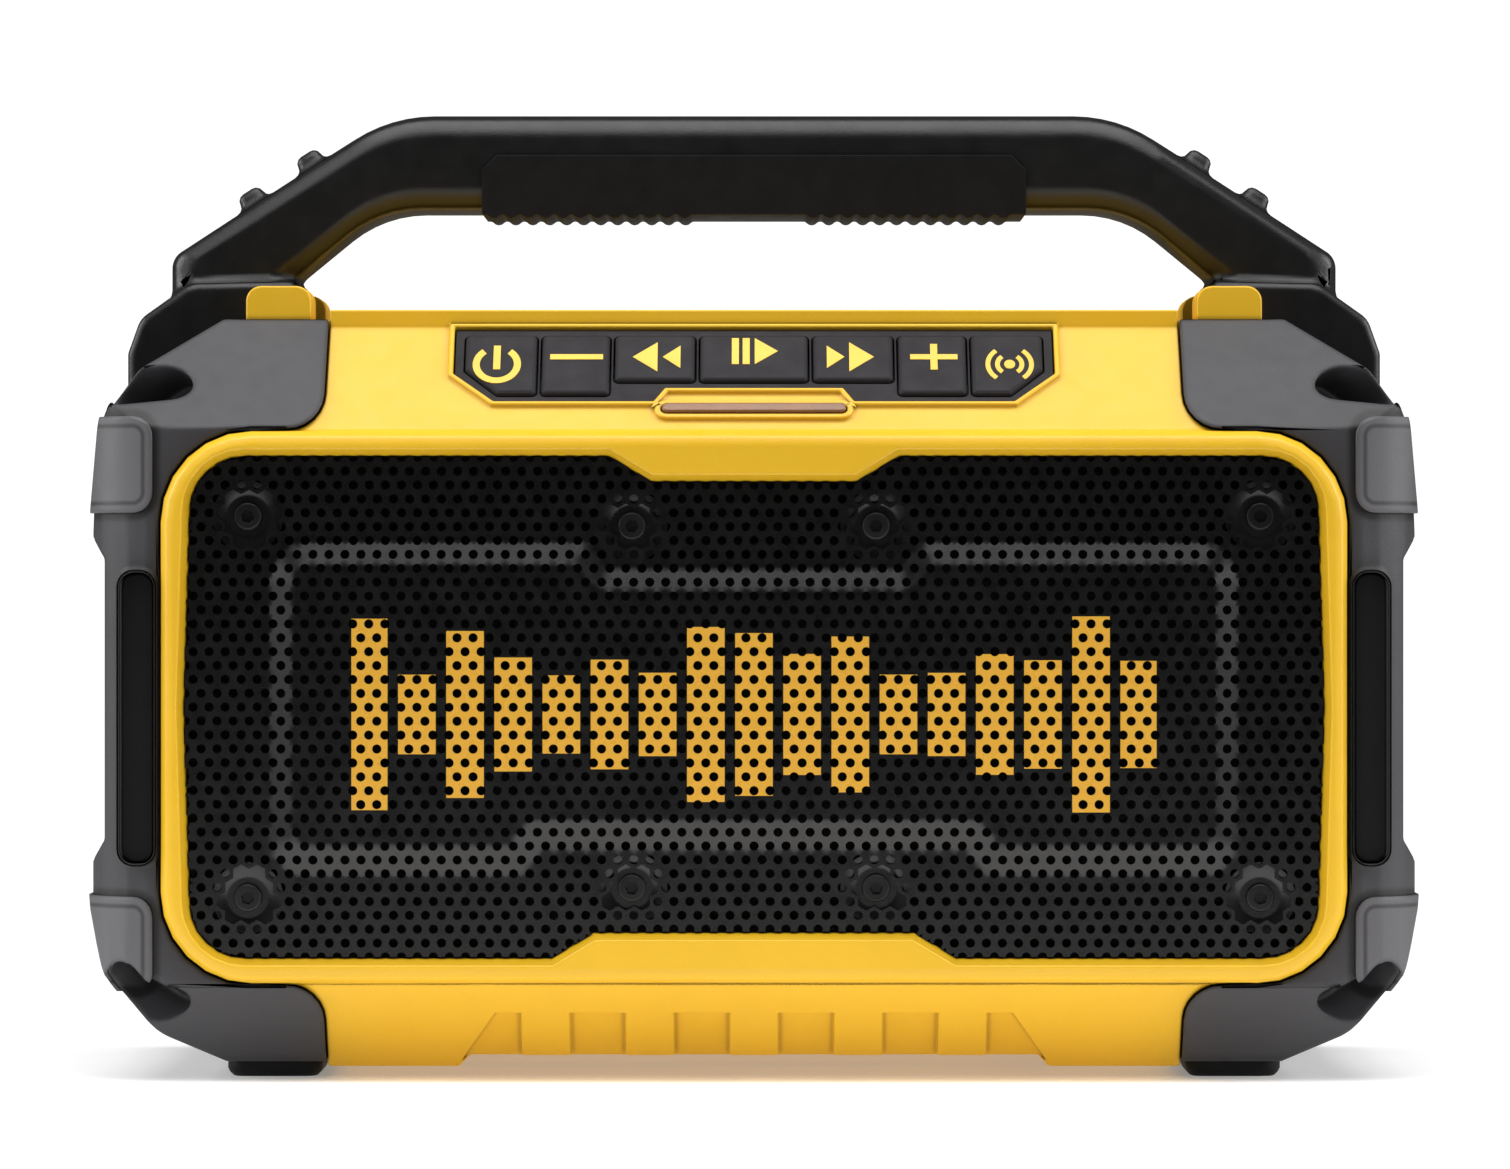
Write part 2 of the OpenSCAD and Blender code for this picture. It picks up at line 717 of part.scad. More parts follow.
// Outline of the status lens's window, moved inwards by d
lens_r = 1.2;
function lens_outline(d) =
    inset(rectangle(-lens_half, lens_half, -lens_h / 2, lens_h / 2, lens_r), d);

bezel_ledge = 0.8;
rim_w = 1.3;
rim_h = 0.9;
board_post_r = 2.6;
key_board_screw_l = 4.2;
key_board_more = 7;
key_post_more = 4;
key_post_in = [6, 4];
key_board_half = keypad_half + key_board_more;
key_post_y = [keypad_low + key_post_in[0], keypad_low + keypad_h - key_post_in[1]];
key_board_screw_places = [for (x = [-1, 1], y = key_post_y) [x * (keypad_half + key_post_more), y]];
ring_steps = 3;

module front_housing() {
    color(yellow) difference() {
        union() {
            difference() {
                union() {
                    housing_blank();
                    skin(concat(
                        [for (i = [ring_steps:-1:0])
                            let (a = 90 * i / ring_steps)
                            at_depth(inset(ring, ring_bevel * (1 - cos(a))), front_y - ring_rise * sin(a))],
                        [at_depth(ring, ring_back_y)]));
                }
                housing_hollow();
                along_y(inner_front_y, baffle_back_y + 2) polygon(baffle_outline(cap_gap));
            }
            on_slope() translate([0, 0, -rim_h]) linear_extrude(2 * rim_h) polygon(inset(keypad, -rim_w));
            on_slope() translate([0, lens_mid_y, -rim_h]) linear_extrude(2 * rim_h)
                polygon(lens_outline(-rim_w));
            at_housing_screws() translate([0, 0, -housing_screw_l - 4])
                cylinder(h = housing_screw_l + 4 - housing_head_y, r = housing_post_r);
            for (p = key_board_screw_places)
                on_slope() translate([p.x, p.y, board_top])
                    cylinder(h = -board_top - wall + 1, r = board_post_r);
        }
        translate([-housing_w, -seam_y, -1]) cube([2 * housing_w, housing_d, 2 * top_z]);
        along_y(ring_front_y - 1, inner_front_y + 1) polygon(opening);
        skin([at_depth(inset(opening, -ring_lip * 1.2), ring_front_y - ring_rise * 0.2),
            at_depth(opening, front_y)]);
        chin_recess();
        on_slope() translate([0, 0, -bezel_t]) linear_extrude(bezel_t + 2) polygon(inset(keypad, -cap_gap));
        on_slope() translate([0, 0, -2 * wall]) linear_extrude(2 * wall)
            polygon(inset(keypad, bezel_ledge));
        on_slope() translate([0, lens_mid_y, -2 * wall]) linear_extrude(3 * wall) polygon(lens_outline(0));
        at_housing_screws() screw_bore(housing_screw_l + 1);
        both_sides() at_cap_corners() translate([0, 0, -recess_depth]) screw_bore(cap_screw_l + 1);
        at_handle_screws() translate([0, 0, 1]) screw_bore(wall + 3);
        for (p = key_board_screw_places)
            on_slope() translate([p.x, p.y, board_top + key_board_screw_l])
                screw_bore(key_board_screw_l + eps);
    }
}

baffle_in = 1;
baffle_low_in = 2.2;
baffle_high_in = 3.2;
function baffle_outline(grow) =
    rectangle(-half_w + wall + baffle_in - grow, half_w - wall - baffle_in + grow,
        chin_z + baffle_low_in - grow, slope_low_z - baffle_high_in + grow, ring_r);

// Walls of the battery bay, kept inside the housing's outline
module bay_walls() {
    intersection() {
        translate([-bay_w / 2 - wall, bay_floor_y - wall, bay_z - wall])
            cube([bay_w + 2 * wall, housing_d, top_z]);
        along_x(-middle_w / 2, middle_w / 2) polygon(middle_section);
    }
}

// Port recess beside the bay
port_in = 5;
port_x = bay_w / 2 + wall + port_in;
port_floor_y = -front_y - port_depth;
jack_z = port_z + port_h / 2;
line_x = port_x + port_w * 0.3;
inlet_x = port_x + port_w * 0.7;
line_body_r = 3.6;
inlet_body_r = 4.6;
jack_l = 13;
port_board_y = port_floor_y - jack_l;
board_t = 1.6;
port_post_h = 6;
port_post_x = 7.5;
port_back_y = port_board_y + board_t + port_post_h;

// Main board behind the bay's wall
main_post_h = 10;
main_board_y = bay_floor_y - wall - main_post_h;
main_board_half = 46;
main_board_up = 34;
main_board_h = 56;
main_post_x = 34;
main_post_in = 6;
main_board_low_z = bay_z + main_board_up;
main_board_high_z = main_board_low_z + main_board_h;
main_post_places = [for (x = [-main_post_x, main_post_x],
    z = [main_board_low_z + main_post_in, main_board_high_z - main_post_in]) [x, z]];
main_screw_l = 6;

dock_side_gap = 1.5;
dock_screw_in = [5, 8];
dock_half = bay_w / 2 - dock_side_gap;
dock_low_z = bay_z + cap_gap;
dock_high_z = dock_low_z + dock_h;
dock_screw_places = [for (x = [-1, 1], z = [dock_low_z + dock_screw_in.y, dock_high_z - dock_screw_in.y])
    [x * (dock_half - dock_screw_in.x), z]];
dock_screw_l = 5.5;

module rear_housing() {
    color(yellow) difference() {
        union() {
            difference() {
                housing_blank();
                housing_hollow();
            }
            bay_walls();
            translate([port_x - wall, port_back_y, port_z - wall])
                cube([port_w + 2 * wall, -front_y - port_back_y, port_h + 2 * wall]);
            at_housing_screws() translate([0, 0, -housing_head_y])
                cylinder(h = housing_head_y + wall, r = housing_post_r);
            for (p = main_post_places)
                translate([p.x, main_board_y, p.y]) rotate([-90, 0, 0])
                    cylinder(h = bay_floor_y - main_board_y - 1, r = board_post_r);
            for (x = [line_x - port_post_x, inlet_x + port_post_x])
                translate([x, port_board_y + board_t, jack_z]) rotate([-90, 0, 0])
                    cylinder(h = port_post_h + 2, r = board_post_r);
        }
        translate([-housing_w, seam_y - housing_d, -1]) cube([2 * housing_w, housing_d, 2 * top_z]);
        translate([-bay_w / 2, bay_floor_y, bay_z]) cube([bay_w, housing_d, top_z]);
        along_y(port_floor_y, -front_y + 1)
            polygon(rectangle(port_x, port_x + port_w, port_z, port_z + port_h, 2));
        translate([line_x, port_board_y, jack_z]) rotate([-90, 0, 0])
            cylinder(h = jack_l + 1, r = line_body_r + screw_gap);
        translate([inlet_x, port_board_y, jack_z]) rotate([-90, 0, 0])
            cylinder(h = jack_l + 1, r = inlet_body_r + screw_gap);
        at_housing_screws() screw_bore(housing_head_y);
        at_housing_screws() cylinder(h = housing_d, r = head_r + 0.5);
        both_sides() at_cap_corners() translate([0, 0, -recess_depth]) screw_bore(cap_screw_l + 1);
        at_handle_screws() translate([0, 0, 1]) screw_bore(wall + 3);
        for (p = main_post_places)
            translate([p.x, main_board_y - eps, p.y]) rotate([-90, 0, 0])
                cylinder(h = main_screw_l, r = screw_r + screw_gap);
        for (p = dock_screw_places)
            translate([p.x, dock_face_y, p.y]) rotate([-90, 0, 0]) screw_bore(dock_t + wall + 1);
    }
}

module housing_seal() {
    color(rubber) intersection() {
        difference() {
            housing_blank();
            housing_hollow();
        }
        translate([-housing_w, -seam_y, -1]) cube([2 * housing_w, 2 * seam_y, 2 * top_z]);
    }
}

module housing_screws() {
    color(steel) at_housing_screws() screw(housing_screw_l);
}

// Side strips at the cap's waist with a raised rim round them, seen from the front
strip_in = 1.2;
strip_x = ring_w / 2 + cap_gap + strip_in;
strip_drop = 4.2;
strip_end = 3;
strip_r = 2.5;
strip_rim = 0.95;
function strip_outline(grow) =
    rectangle(strip_x - grow, strip_x + strip_w + grow, waist_low_z - strip_drop - grow,
        waist_high_z - strip_end + grow, strip_r + grow);

module end_cap() {
    difference() {
        union() {
            cap_form(0);
            both_ends() along_y(cap_front_y - strip_rim_h, cap_front_y + strip_pocket)
                polygon(strip_outline(strip_rim));
        }
        core_form(-cap_gap / 2);
        along_y(ring_front_y, ring_back_y + cap_gap) polygon(inset(ring, -cap_gap));
        translate([cap_left_x - 1, -saddle_half, saddle_low_z - cap_gap])
            cube([2 * cap_reach + half_w, 2 * saddle_half, top_z]);
        translate([cap_left_x - 1, boss_front_y - cap_gap, core_top_z - boss_sink - cap_gap])
            cube([boss_high_x + cap_gap - cap_left_x + 1, -2 * boss_front_y + 2 * cap_gap, top_z]);
        both_ends() along_y(cap_front_y - 1, cap_front_y + strip_pocket) polygon(strip_outline(cap_gap));
        both_ends() along_y(cap_front_y - 1, -saddle_half) {
            polygon(flange_corner(slope_low_z, 1, 0));
            polygon(flange_corner(chin_z, -1, 0));
        }
        at_cap_corners() eye(0);
        at_cap_corners() translate([0, 0, -recess_depth]) screw_bore(cap_screw_l + 1);
    }
}

// Raised pads on the cap's outer corners
pad_in = 1.5;
pad_x = ring_w / 2 + pad_in;
pad_up = 4.5;
pad_down = 6.5;
pad_r = 4;
pad_low_z = waist_high_z + waist_run + pad_up;
pad_foot_z = waist_low_z - waist_run - pad_down - pad_h;
module corner_pads() {
    difference() {
        both_ends() for (z = [pad_foot_z, pad_low_z])
            intersection() {
                difference() {
                    cap_form(pad_t);
                    cap_form(0);
                }
                along_y(cap_front_y - 2, cap_front_y + pad_d)
                    polygon(rectangle(pad_x, cap_x + 3 * pad_r, z, z + pad_h, pad_r));
            }
        at_cap_corners() eye(cap_gap);
    }
}

module side_strips() {
    both_ends() along_y(cap_front_y + strip_pocket - strip_t, cap_front_y + strip_pocket)
        polygon(strip_outline(0));
}

module left_end_cap() { color(cap_grey) mirror([1, 0, 0]) end_cap(); }
module right_end_cap() { color(cap_grey) end_cap(); }
module left_corner_pads() { color(pad_grey) mirror([1, 0, 0]) corner_pads(); }
module right_corner_pads() { color(pad_grey) corner_pads(); }
module left_side_strips() { color(rubber) mirror([1, 0, 0]) side_strips(); }
module right_side_strips() { color(rubber) side_strips(); }

module end_cap_screws() {
    color(steel) both_sides() at_cap_corners() translate([0, 0, -recess_depth]) screw(cap_screw_l);
}

module feet() {
    color(rubber) both_sides() both_ends()
        translate([cap_left_x + 1 + foot_w / 2, -foot_pitch / 2, 0]) {
            skin_z([[0, 1.2], [0.8, 0.4], [1.6, 0], [cap_bottom_z, 0]], rectangle(-foot_w / 2, foot_w / 2,
                -foot_d / 2, foot_d / 2, foot_r));
        }
}

// Upright solid through copies of an outline: each step is [height, inset]
module skin_z(steps, points) {
    skin([for (i = [len(steps) - 1:-1:0]) [for (p = inset(points, steps[i][1])) [p.x, p.y, steps[i][0]]]]);
}

// Handle: a bar whose outer and inner lines run from foot to foot
handle_top_z = top_z + handle_rise;
leg_in = 2;
leg_inner_in = 27;
leg_gap = 1.6;
leg_drop = 28.7;
leg_inner_drop = 33.3;
leg_root = 5;
leg_x = half_w - leg_in;
leg_inner_x = max(half_w - leg_inner_in, middle_w / 2 + leg_gap);
leg_z = handle_top_z - leg_drop;
leg_inner_z = handle_top_z - leg_inner_drop;
leg_foot_z = core_top_z + leg_root;
leg_r = 4;
bend_r = [30, 24];
bend_more = 2.2;
bar_low_z = handle_top_z - bar_h;
handle_outer_right = [
    [leg_x, leg_foot_z, 0], [leg_x, leg_z, leg_r], [handle_top_half, handle_top_z, bend_r[0]]
];
handle_inner_right = [
    [leg_inner_x, leg_foot_z, 0], [leg_inner_x, leg_inner_z, leg_r],
    [handle_top_half + bend_more, bar_low_z, bend_r[1]]
];
handle_outer = bent_line(concat(handle_outer_right, mirrored(handle_outer_right)));
handle_inner = bent_line(concat(handle_inner_right, mirrored(handle_inner_right)));
handle_edge_r = 5;
handle_edge_n = 3;
function bar_section(half_h, half_d, r) =
    [for (q = [0:3], i = [0:handle_edge_n])
        let (
            a = q * 90 + 90 * i / handle_edge_n,
            su = (q == 0 || q == 3) ? 1 : -1,
            sv = q < 2 ? 1 : -1
        )
        [su * (half_h - r) + r * cos(a), sv * (half_d - r) + r * sin(a)]];
module handle_bar(grow) {
    skin([for (i = [len(handle_outer) - 1:-1:0])
        let (
            o = handle_outer[i],
            n = handle_inner[i],
            mid = (o + n) / 2,
            up = unit(o - n)
        )
        [for (p = bar_section(norm(o - n) / 2 + grow, handle_d / 2 + grow, handle_edge_r + grow))
            [mid.x + up.x * p.x, p.y, mid.y + up.y * p.x]]]);
}

foot_reach = 6.5;
foot_in = 1;
foot_rise = [-2, 5, 12.1, 12.6];
foot_slant = 2.5;
foot_outer_x = half_w + foot_reach;
foot_inner_x = leg_inner_x - foot_in;
corner_line = half_w - corner_cut + core_top_z + cap_gap;
handle_foot = outline([
    [foot_inner_x, corner_line - foot_inner_x, 0], [corner_line - saddle_low_z, saddle_low_z, 0],
    [foot_outer_x, saddle_low_z, 2], [foot_outer_x, core_top_z + foot_rise[0], 3],
    [foot_outer_x - foot_slant, core_top_z + foot_rise[1], 5],
    [leg_x - leg_r, core_top_z + foot_rise[2], 5], [foot_inner_x, core_top_z + foot_rise[3], 2]
]);

lug_w = 5.4;
lug_h = 3.2;
lug_d = 18;
lug_places = [20, 34];
lug_root = 2;
module handle() {
    slant = unit([handle_top_half - leg_x, handle_top_z - leg_z]);
    color(black) difference() {
        union() {
            handle_bar(0);
            both_sides() along_y(-handle_foot_d / 2, handle_foot_d / 2) polygon(handle_foot);
            both_sides() for (s = lug_places)
                translate([leg_x + slant.x * s, lug_d / 2, leg_z + slant.y * s])
                    rotate([90, atan2(-slant.y, slant.x) + 180, 0])
                        translate([-lug_w / 2, -lug_root, 0]) linear_extrude(lug_d)
                            square([lug_w, lug_h + lug_root]);
        }
        at_handle_screws() screw_bore(handle_screw_l + 0.5);
    }
}

// Grip sleeve with two groups of round ribs underneath
rib_count = floor((sleeve_l - rib_gap) / 2 / rib_pitch);
rib_w = rib_pitch * 0.8;
sleeve_low_z = bar_low_z - sleeve_t;
rib_steps = 4;
sleeve_cut = 3;
function rib_line(x0) = [for (i = [0:rib_count - 1], s = [0:rib_steps])
    [x0 + i * rib_pitch + rib_w * s / rib_steps, sleeve_low_z - rib_h * sin(180 * s / rib_steps)]];
module handle_sleeve() {
    high_z = sleeve_low_z + sleeve_h;
    sleeve = concat(
        [[-sleeve_l / 2, sleeve_low_z]],
        rib_line(-sleeve_l / 2 + 1), rib_line(rib_gap / 2),
        [[sleeve_l / 2, sleeve_low_z], [sleeve_l / 2, high_z - sleeve_cut],
        [sleeve_l / 2 - sleeve_cut, high_z], [-sleeve_l / 2 + sleeve_cut, high_z],
        [-sleeve_l / 2, high_z - sleeve_cut]]);
    color(rubber) difference() {
        along_y(-handle_d / 2 - sleeve_t, handle_d / 2 + sleeve_t) polygon(sleeve);
        handle_bar(0.05);
    }
}

module handle_screws() {
    color(steel) at_handle_screws() screw(handle_screw_l);
}

// Formed and perforated grille sheet
grille_edge = inset(opening, grille_gap);
inner_crown = inset(crown, crown_run);
hole_margin = hole_d / 2 + 0.6;
row_h = hole_pitch * sqrt(3) / 2;
rows = floor((opening_high_z - opening_low_z) / 2 / row_h);
columns = ceil(opening_half / hole_pitch);
hole_places = [for (j = [-rows:rows], i = [-columns:columns])
    [(i + (j % 2 == 0 ? 0 : 0.5)) * hole_pitch, mid_z + j * row_h]];
border_holes = let (edge = inset(grille_edge, hole_margin + 0.6), keep = inset(crown, -hole_margin))
    [for (p = hole_places)
        if (within(p, edge) && !within(p, keep)
            && min([for (q = grille_screw_places) norm(p - q)]) > dimple_d / 2 + hole_margin) p];
crown_holes = let (edge = inset(inner_crown, hole_margin)) [for (p = hole_places) if (within(p, edge)) p];

module perforated(holes) {
    difference() {
        children();
        for (p = holes)
            translate(p) circle(d = hole_d, $fn = 16);
    }
}

dimple_floor_r = dimple_d / 2 - 1.4;
weld = 0.8;
dimple_weld = 0.3;
sink = [0.2, 0.8];
module grille() {
    color(black) {
        along_y(grille_y, grille_y + sheet_t) perforated(border_holes) difference() {
            polygon(grille_edge);
            polygon(crown);
            for (p = grille_screw_places)
                translate(p) circle(d = dimple_d);
        }
        along_y(grille_y - crown_rise, grille_y - crown_rise + sheet_t) perforated(crown_holes)
            polygon(inner_crown);
        ring_skin([at_depth(inset(crown, -weld), grille_y + sheet_t * sink[0]),
            at_depth(inset(crown, -weld), grille_y + sheet_t * sink[1]),
            at_depth(inset(crown, crown_run + weld), grille_y - crown_rise + sheet_t * sink[1]),
            at_depth(inset(crown, crown_run + weld), grille_y - crown_rise + sheet_t * sink[0])]);
        along_y(grille_y + sheet_t / 2, inner_front_y - cloth_t) difference() {
            polygon(grille_edge);
            polygon(inset(grille_edge, sheet_t));
        }
        for (p = grille_screw_places)
            translate([p.x, grille_y, p.y]) rotate([-90, 0, 0]) dimple();
    }
}

// Cup round a grille screw, from the sheet's front face inwards
module dimple() {
    difference() {
        translate([0, 0, sheet_t * sink[0]])
            cylinder(h = dimple_depth + sheet_t * (1 - sink[0]), r1 = dimple_d / 2 + dimple_weld,
                r2 = dimple_floor_r + sheet_t);
        translate([0, 0, -eps]) cylinder(h = dimple_depth + eps, r1 = dimple_d / 2, r2 = dimple_floor_r);
        cylinder(h = dimple_depth + 2 * sheet_t, r = screw_r + screw_gap);
    }
}

grille_screw_l = 5.4;
module at_grille_screws() {
    for (p = grille_screw_places)
        translate([p.x, grille_y + dimple_depth, p.y]) rotate([90, 0, 0]) children();
}

module grille_screws() {
    color(steel) at_grille_screws() screw(grille_screw_l);
}

module acoustic_cloth() {
    color(black) difference() {
        along_y(inner_front_y - cloth_t, inner_front_y) polygon(grille_edge);
        at_grille_screws() screw_bore(grille_screw_l + 1);
    }
}

// Frame of a driver: z towards the front, from the baffle's rear face
module at_driver(side) {
    translate([side * driver_x, baffle_back_y, mid_z]) rotate([90, 0, 0]) children();
}

flange_t_driver = 3;
driver_screw_r = driver_d / 2 - 2;
driver_screw_l = 6.4;
module at_driver_screws() {
    for (a = [45:90:315])
        rotate([0, 0, a]) translate([driver_screw_r, 0, -flange_t_driver]) rotate([180, 0, 0]) children();
}

module baffle() {
    color(black) difference() {
        along_y(inner_front_y, baffle_back_y) polygon(baffle_outline(0));
        for (side = [-1, 1]) {
            at_driver(side) translate([0, 0, -1]) cylinder(h = baffle_t + 2, d = driver_hole_d);
            at_driver(side) at_driver_screws() screw_bore(driver_screw_l + 0.2);
        }
        at_grille_screws() screw_bore(grille_screw_l + 0.5);
    }
}

surround_r = driver_hole_d / 2 - 0.3;
surround_seat = 2.2;
roll_r = 2.3;
roll_t = 0.7;
cone_r = surround_r - surround_seat - 2 * roll_r;
coil_r = coil_d / 2;
cone_depth = 16;
cone_t = 0.8;
basket_floor_r = magnet_d / 2 - 4;
spider_z = -cone_depth - 3;
spider_seat = 2;
basket_t = 2;
basket_window = 14;
module basket() {
    inner_r = surround_r - surround_seat;
    difference() {
        rotate_extrude() polygon([[inner_r, 0], [driver_d / 2, 0], [driver_d / 2, -flange_t_driver],
            [inner_r + basket_t, -flange_t_driver], [basket_floor_r + basket_t, spider_z],
            [basket_floor_r + basket_t, -basket_depth], [coil_r + 2, -basket_depth],
            [coil_r + 2, -basket_depth + basket_t], [basket_floor_r, -basket_depth + basket_t],
            [basket_floor_r, spider_z - spider_seat],
            [basket_floor_r - spider_seat, spider_z - spider_seat],
            [basket_floor_r - spider_seat, spider_z], [basket_floor_r, spider_z],
            [inner_r, -flange_t_driver]]);
        for (a = [0:60:300])
            rotate([0, 0, a])
                translate([basket_floor_r + basket_t / 2, -basket_window / 2, spider_z + basket_t])
                    cube([driver_d, basket_window, -spider_z - flange_t_driver - 2 * basket_t]);
        at_driver_screws() screw_bore(flange_t_driver + 1);
    }
}

// Magnet with a pole piece and the gap round it
magnet_gap_depth = 9;
magnet_gap = 0.9;
module magnet() {
    translate([0, 0, -basket_depth - magnet_t]) difference() {
        cylinder(h = magnet_t, d = magnet_d);
        translate([0, 0, magnet_t - magnet_gap_depth]) difference() {
            cylinder(h = magnet_gap_depth + 1, r = coil_r + coil_t / 2 + magnet_gap);
            translate([0, 0, -1]) cylinder(h = magnet_gap_depth, r = coil_r - coil_t / 2 - magnet_gap);
        }
    }
}

// Cone, dust cap and voice coil in one piece
coil_t = 1;
cone_low = 0.9;
cone_edge_r = cone_r - 0.3;
cone_lip = 2;
cone_foot = 2.5;
cone_foot_z = -cone_depth + 4;
dome_r = coil_r * 0.7;
dome_z = -cone_depth + 8;
dome_drop = 1;
coil_end_z = -basket_depth - 5;
module cone() {
    rotate_extrude() polygon([
        [cone_edge_r, cone_low], [cone_edge_r, cone_low + cone_t],
        [cone_edge_r - cone_lip, cone_low + cone_t],
        [coil_r + cone_foot, cone_foot_z], [dome_r, dome_z - dome_drop], [0, dome_z], [0, dome_z - cone_t],
        [dome_r, dome_z - dome_drop - cone_t], [coil_r - coil_t / 2, cone_foot_z - dome_drop],
        [coil_r - coil_t / 2, coil_end_z], [coil_r + coil_t / 2, coil_end_z],
        [coil_r + coil_t / 2, -cone_depth + cone_t], [cone_edge_r - cone_lip, cone_low]
    ]);
}

module suspension() {
    rotate_extrude() difference() {
        union() {
            translate([cone_r, 0]) square([surround_r - cone_r, roll_t]);
            translate([cone_r + roll_r, 0]) circle(r = roll_r);
        }
        translate([cone_r + roll_r, 0]) circle(r = roll_r - roll_t);
        translate([0, -roll_r - 1]) square([surround_r, roll_r + 1]);
    }
    translate([0, 0, spider_z]) difference() {
        cylinder(h = roll_t, r = basket_floor_r - screw_gap);
        translate([0, 0, -1]) cylinder(h = roll_t + 2, r = coil_r + coil_t / 2 + screw_gap);
    }
}

module left_basket() { color(black) at_driver(-1) basket(); }
module right_basket() { color(black) at_driver(1) basket(); }
module left_magnet() { color(steel) at_driver(-1) magnet(); }
module right_magnet() { color(steel) at_driver(1) magnet(); }
module left_cone() { color(black) at_driver(-1) cone(); }
module right_cone() { color(black) at_driver(1) cone(); }
module left_suspension() { color(rubber) at_driver(-1) suspension(); }
module right_suspension() { color(rubber) at_driver(1) suspension(); }

module driver_screws() {
    color(steel) for (side = [-1, 1])
        at_driver(side) at_driver_screws() screw(driver_screw_l);
}

module keypad_bezel() {
    color(key_grey) on_slope() translate([0, 0, -bezel_t]) linear_extrude(bezel_t) difference() {
        polygon(keypad);
        for (i = [0:3]) {
            polygon(inset(key_outline(i), -key_gap));
            mirror([1, 0]) polygon(inset(key_outline(i), -key_gap));
        }
    }
}

stem_r = 2;
stem_low = flange_top - flange_t - stem_h;
key_mid = (play_low + key_high) / 2;
key_edge = 0.8;
module key(i) {
    points = key_outline(i);
    low_y = min([for (p = points) p.y]) - catch_reach;
    catch_x = i == 3 ? key_edges[2] + key_bar / 2 : key_mids[i] - catch_w / 2;
    on_slope() {
        skin_z([[flange_top - flange_t, 0], [0, 0], [key_rise * 0.6, key_edge * 0.3], [key_rise, key_edge]],
            points);
        translate([catch_x, low_y, flange_top - flange_t])
            cube([catch_w, key_high + catch_reach - low_y, flange_t]);
        translate([key_mids[i], key_mid, stem_low]) cylinder(h = flange_top - stem_low, r = stem_r);
    }
}

module power_key() { color(key_grey) mirror([1, 0, 0]) key(3); }
module volume_down_key() { color(key_grey) mirror([1, 0, 0]) key(2); }
module back_key() { color(key_grey) mirror([1, 0, 0]) key(1); }
module play_key() { color(key_grey) key(0); }
module forward_key() { color(key_grey) key(1); }
module volume_up_key() { color(key_grey) key(2); }
module pairing_key() { color(key_grey) key(3); }

key_mids = [
    0, (key_edges[0] + key_edges[1]) / 2, (key_edges[1] + key_edges[2]) / 2,
    (key_edges[2] + key_bar / 2 + keypad_half - bezel_rim) / 2
];
lamp_w = 4;
module key_board() {
    color(board_green) on_slope() {
        difference() {
            translate([-key_board_half, keypad_low - 4, board_top - board_t])
                cube([2 * key_board_half, keypad_h + 2, board_t]);
            for (p = key_board_screw_places)
                translate([p.x, p.y, board_top]) screw_bore(board_t + 1);
        }
        for (i = [0:3], side = i == 0 ? [1] : [-1, 1])
            translate([side * key_mids[i] - switch_w / 2, key_mid - switch_w / 2, board_top - eps])
                cube([switch_w, switch_w, switch_h]);
        translate([-lamp_w / 2, lens_mid_y - lamp_w / 4, board_top - eps])
            cube([lamp_w, lamp_w / 2, -board_top - wall - 0.6]);
    }
}

module key_board_screws() {
    color(steel) on_slope() for (p = key_board_screw_places)
        translate([p.x, p.y, board_top - board_t]) rotate([180, 0, 0])
            screw(key_board_screw_l + board_t - screw_end);
}

module status_lens() {
    color("#aa7873") on_slope() translate([0, lens_mid_y, -wall]) linear_extrude(wall + 1.4)
        polygon(lens_outline(cap_gap / 2));
}

can_r = 5;
can_h = 9;
module main_board() {
    color(board_green) {
        difference() {
            translate([-main_board_half, main_board_y - board_t, main_board_low_z])
                cube([2 * main_board_half, board_t, main_board_high_z - main_board_low_z]);
            for (p = main_post_places)
                translate([p.x, main_board_y, p.y]) rotate([-90, 0, 0]) screw_bore(board_t + 1);
        }
        for (x = [-12, 12])
            translate([x, main_board_y - board_t + eps, main_board_low_z + 12]) rotate([90, 0, 0])
                cylinder(h = can_h, r = can_r);
        on_board(-9, 26, [18, 3, 18]);
        on_board(18, 34, [12, 5, 12]);
        on_board(-30, 36, [14, 2, 10]);
    }
}

// Block on the main board, placed by its lower corner
module on_board(x, z, size) {
    translate([x, main_board_y - board_t - size.y, main_board_low_z + z]) cube(size + [0, eps, 0]);
}

module main_board_screws() {
    color(steel) for (p = main_post_places)
        translate([p.x, main_board_y - board_t, p.y]) rotate([90, 0, 0])
            screw(main_screw_l + board_t - screw_end);
}

rail_low_z = dock_low_z + 16;
rail_lip = 4;
rail_t = 3;
stop_half = dock_half - 8;
stop_h = 6;
block_half = 13;
block_h = 18;
block_t = 11;
block_low_z = dock_low_z + 2 + stop_h + 0.2;
module battery_dock() {
    color(black) difference() {
        union() {
            translate([-dock_half, bay_floor_y, dock_low_z])
                cube([2 * dock_half, dock_t, dock_high_z - dock_low_z]);
            both_sides() along_z(rail_low_z, rail_low_z + rail_l)
                translate([rail_w / 2, dock_face_y])
                    polygon([[0, -eps], [0, rail_h], [-rail_t - rail_lip, rail_h],
                        [-rail_t - rail_lip, rail_h - rail_t], [-rail_t, rail_h - rail_t],
                        [-rail_t, -eps]]);
            translate([-stop_half, dock_face_y - eps, dock_low_z + 2])
                cube([2 * stop_half, rail_h, stop_h]);
        }
        for (p = dock_screw_places)
            translate([p.x, dock_face_y, p.y]) rotate([-90, 0, 0]) screw_bore(dock_t + 1);
    }
}

// Upright solid from an [x, y] outline between two heights
module along_z(z0, z1) {
    translate([0, 0, z0]) linear_extrude(z1 - z0) children();
}

module dock_screws() {
    color(steel) for (p = dock_screw_places)
        translate([p.x, dock_face_y, p.y]) rotate([-90, 0, 0]) screw(dock_screw_l);
}

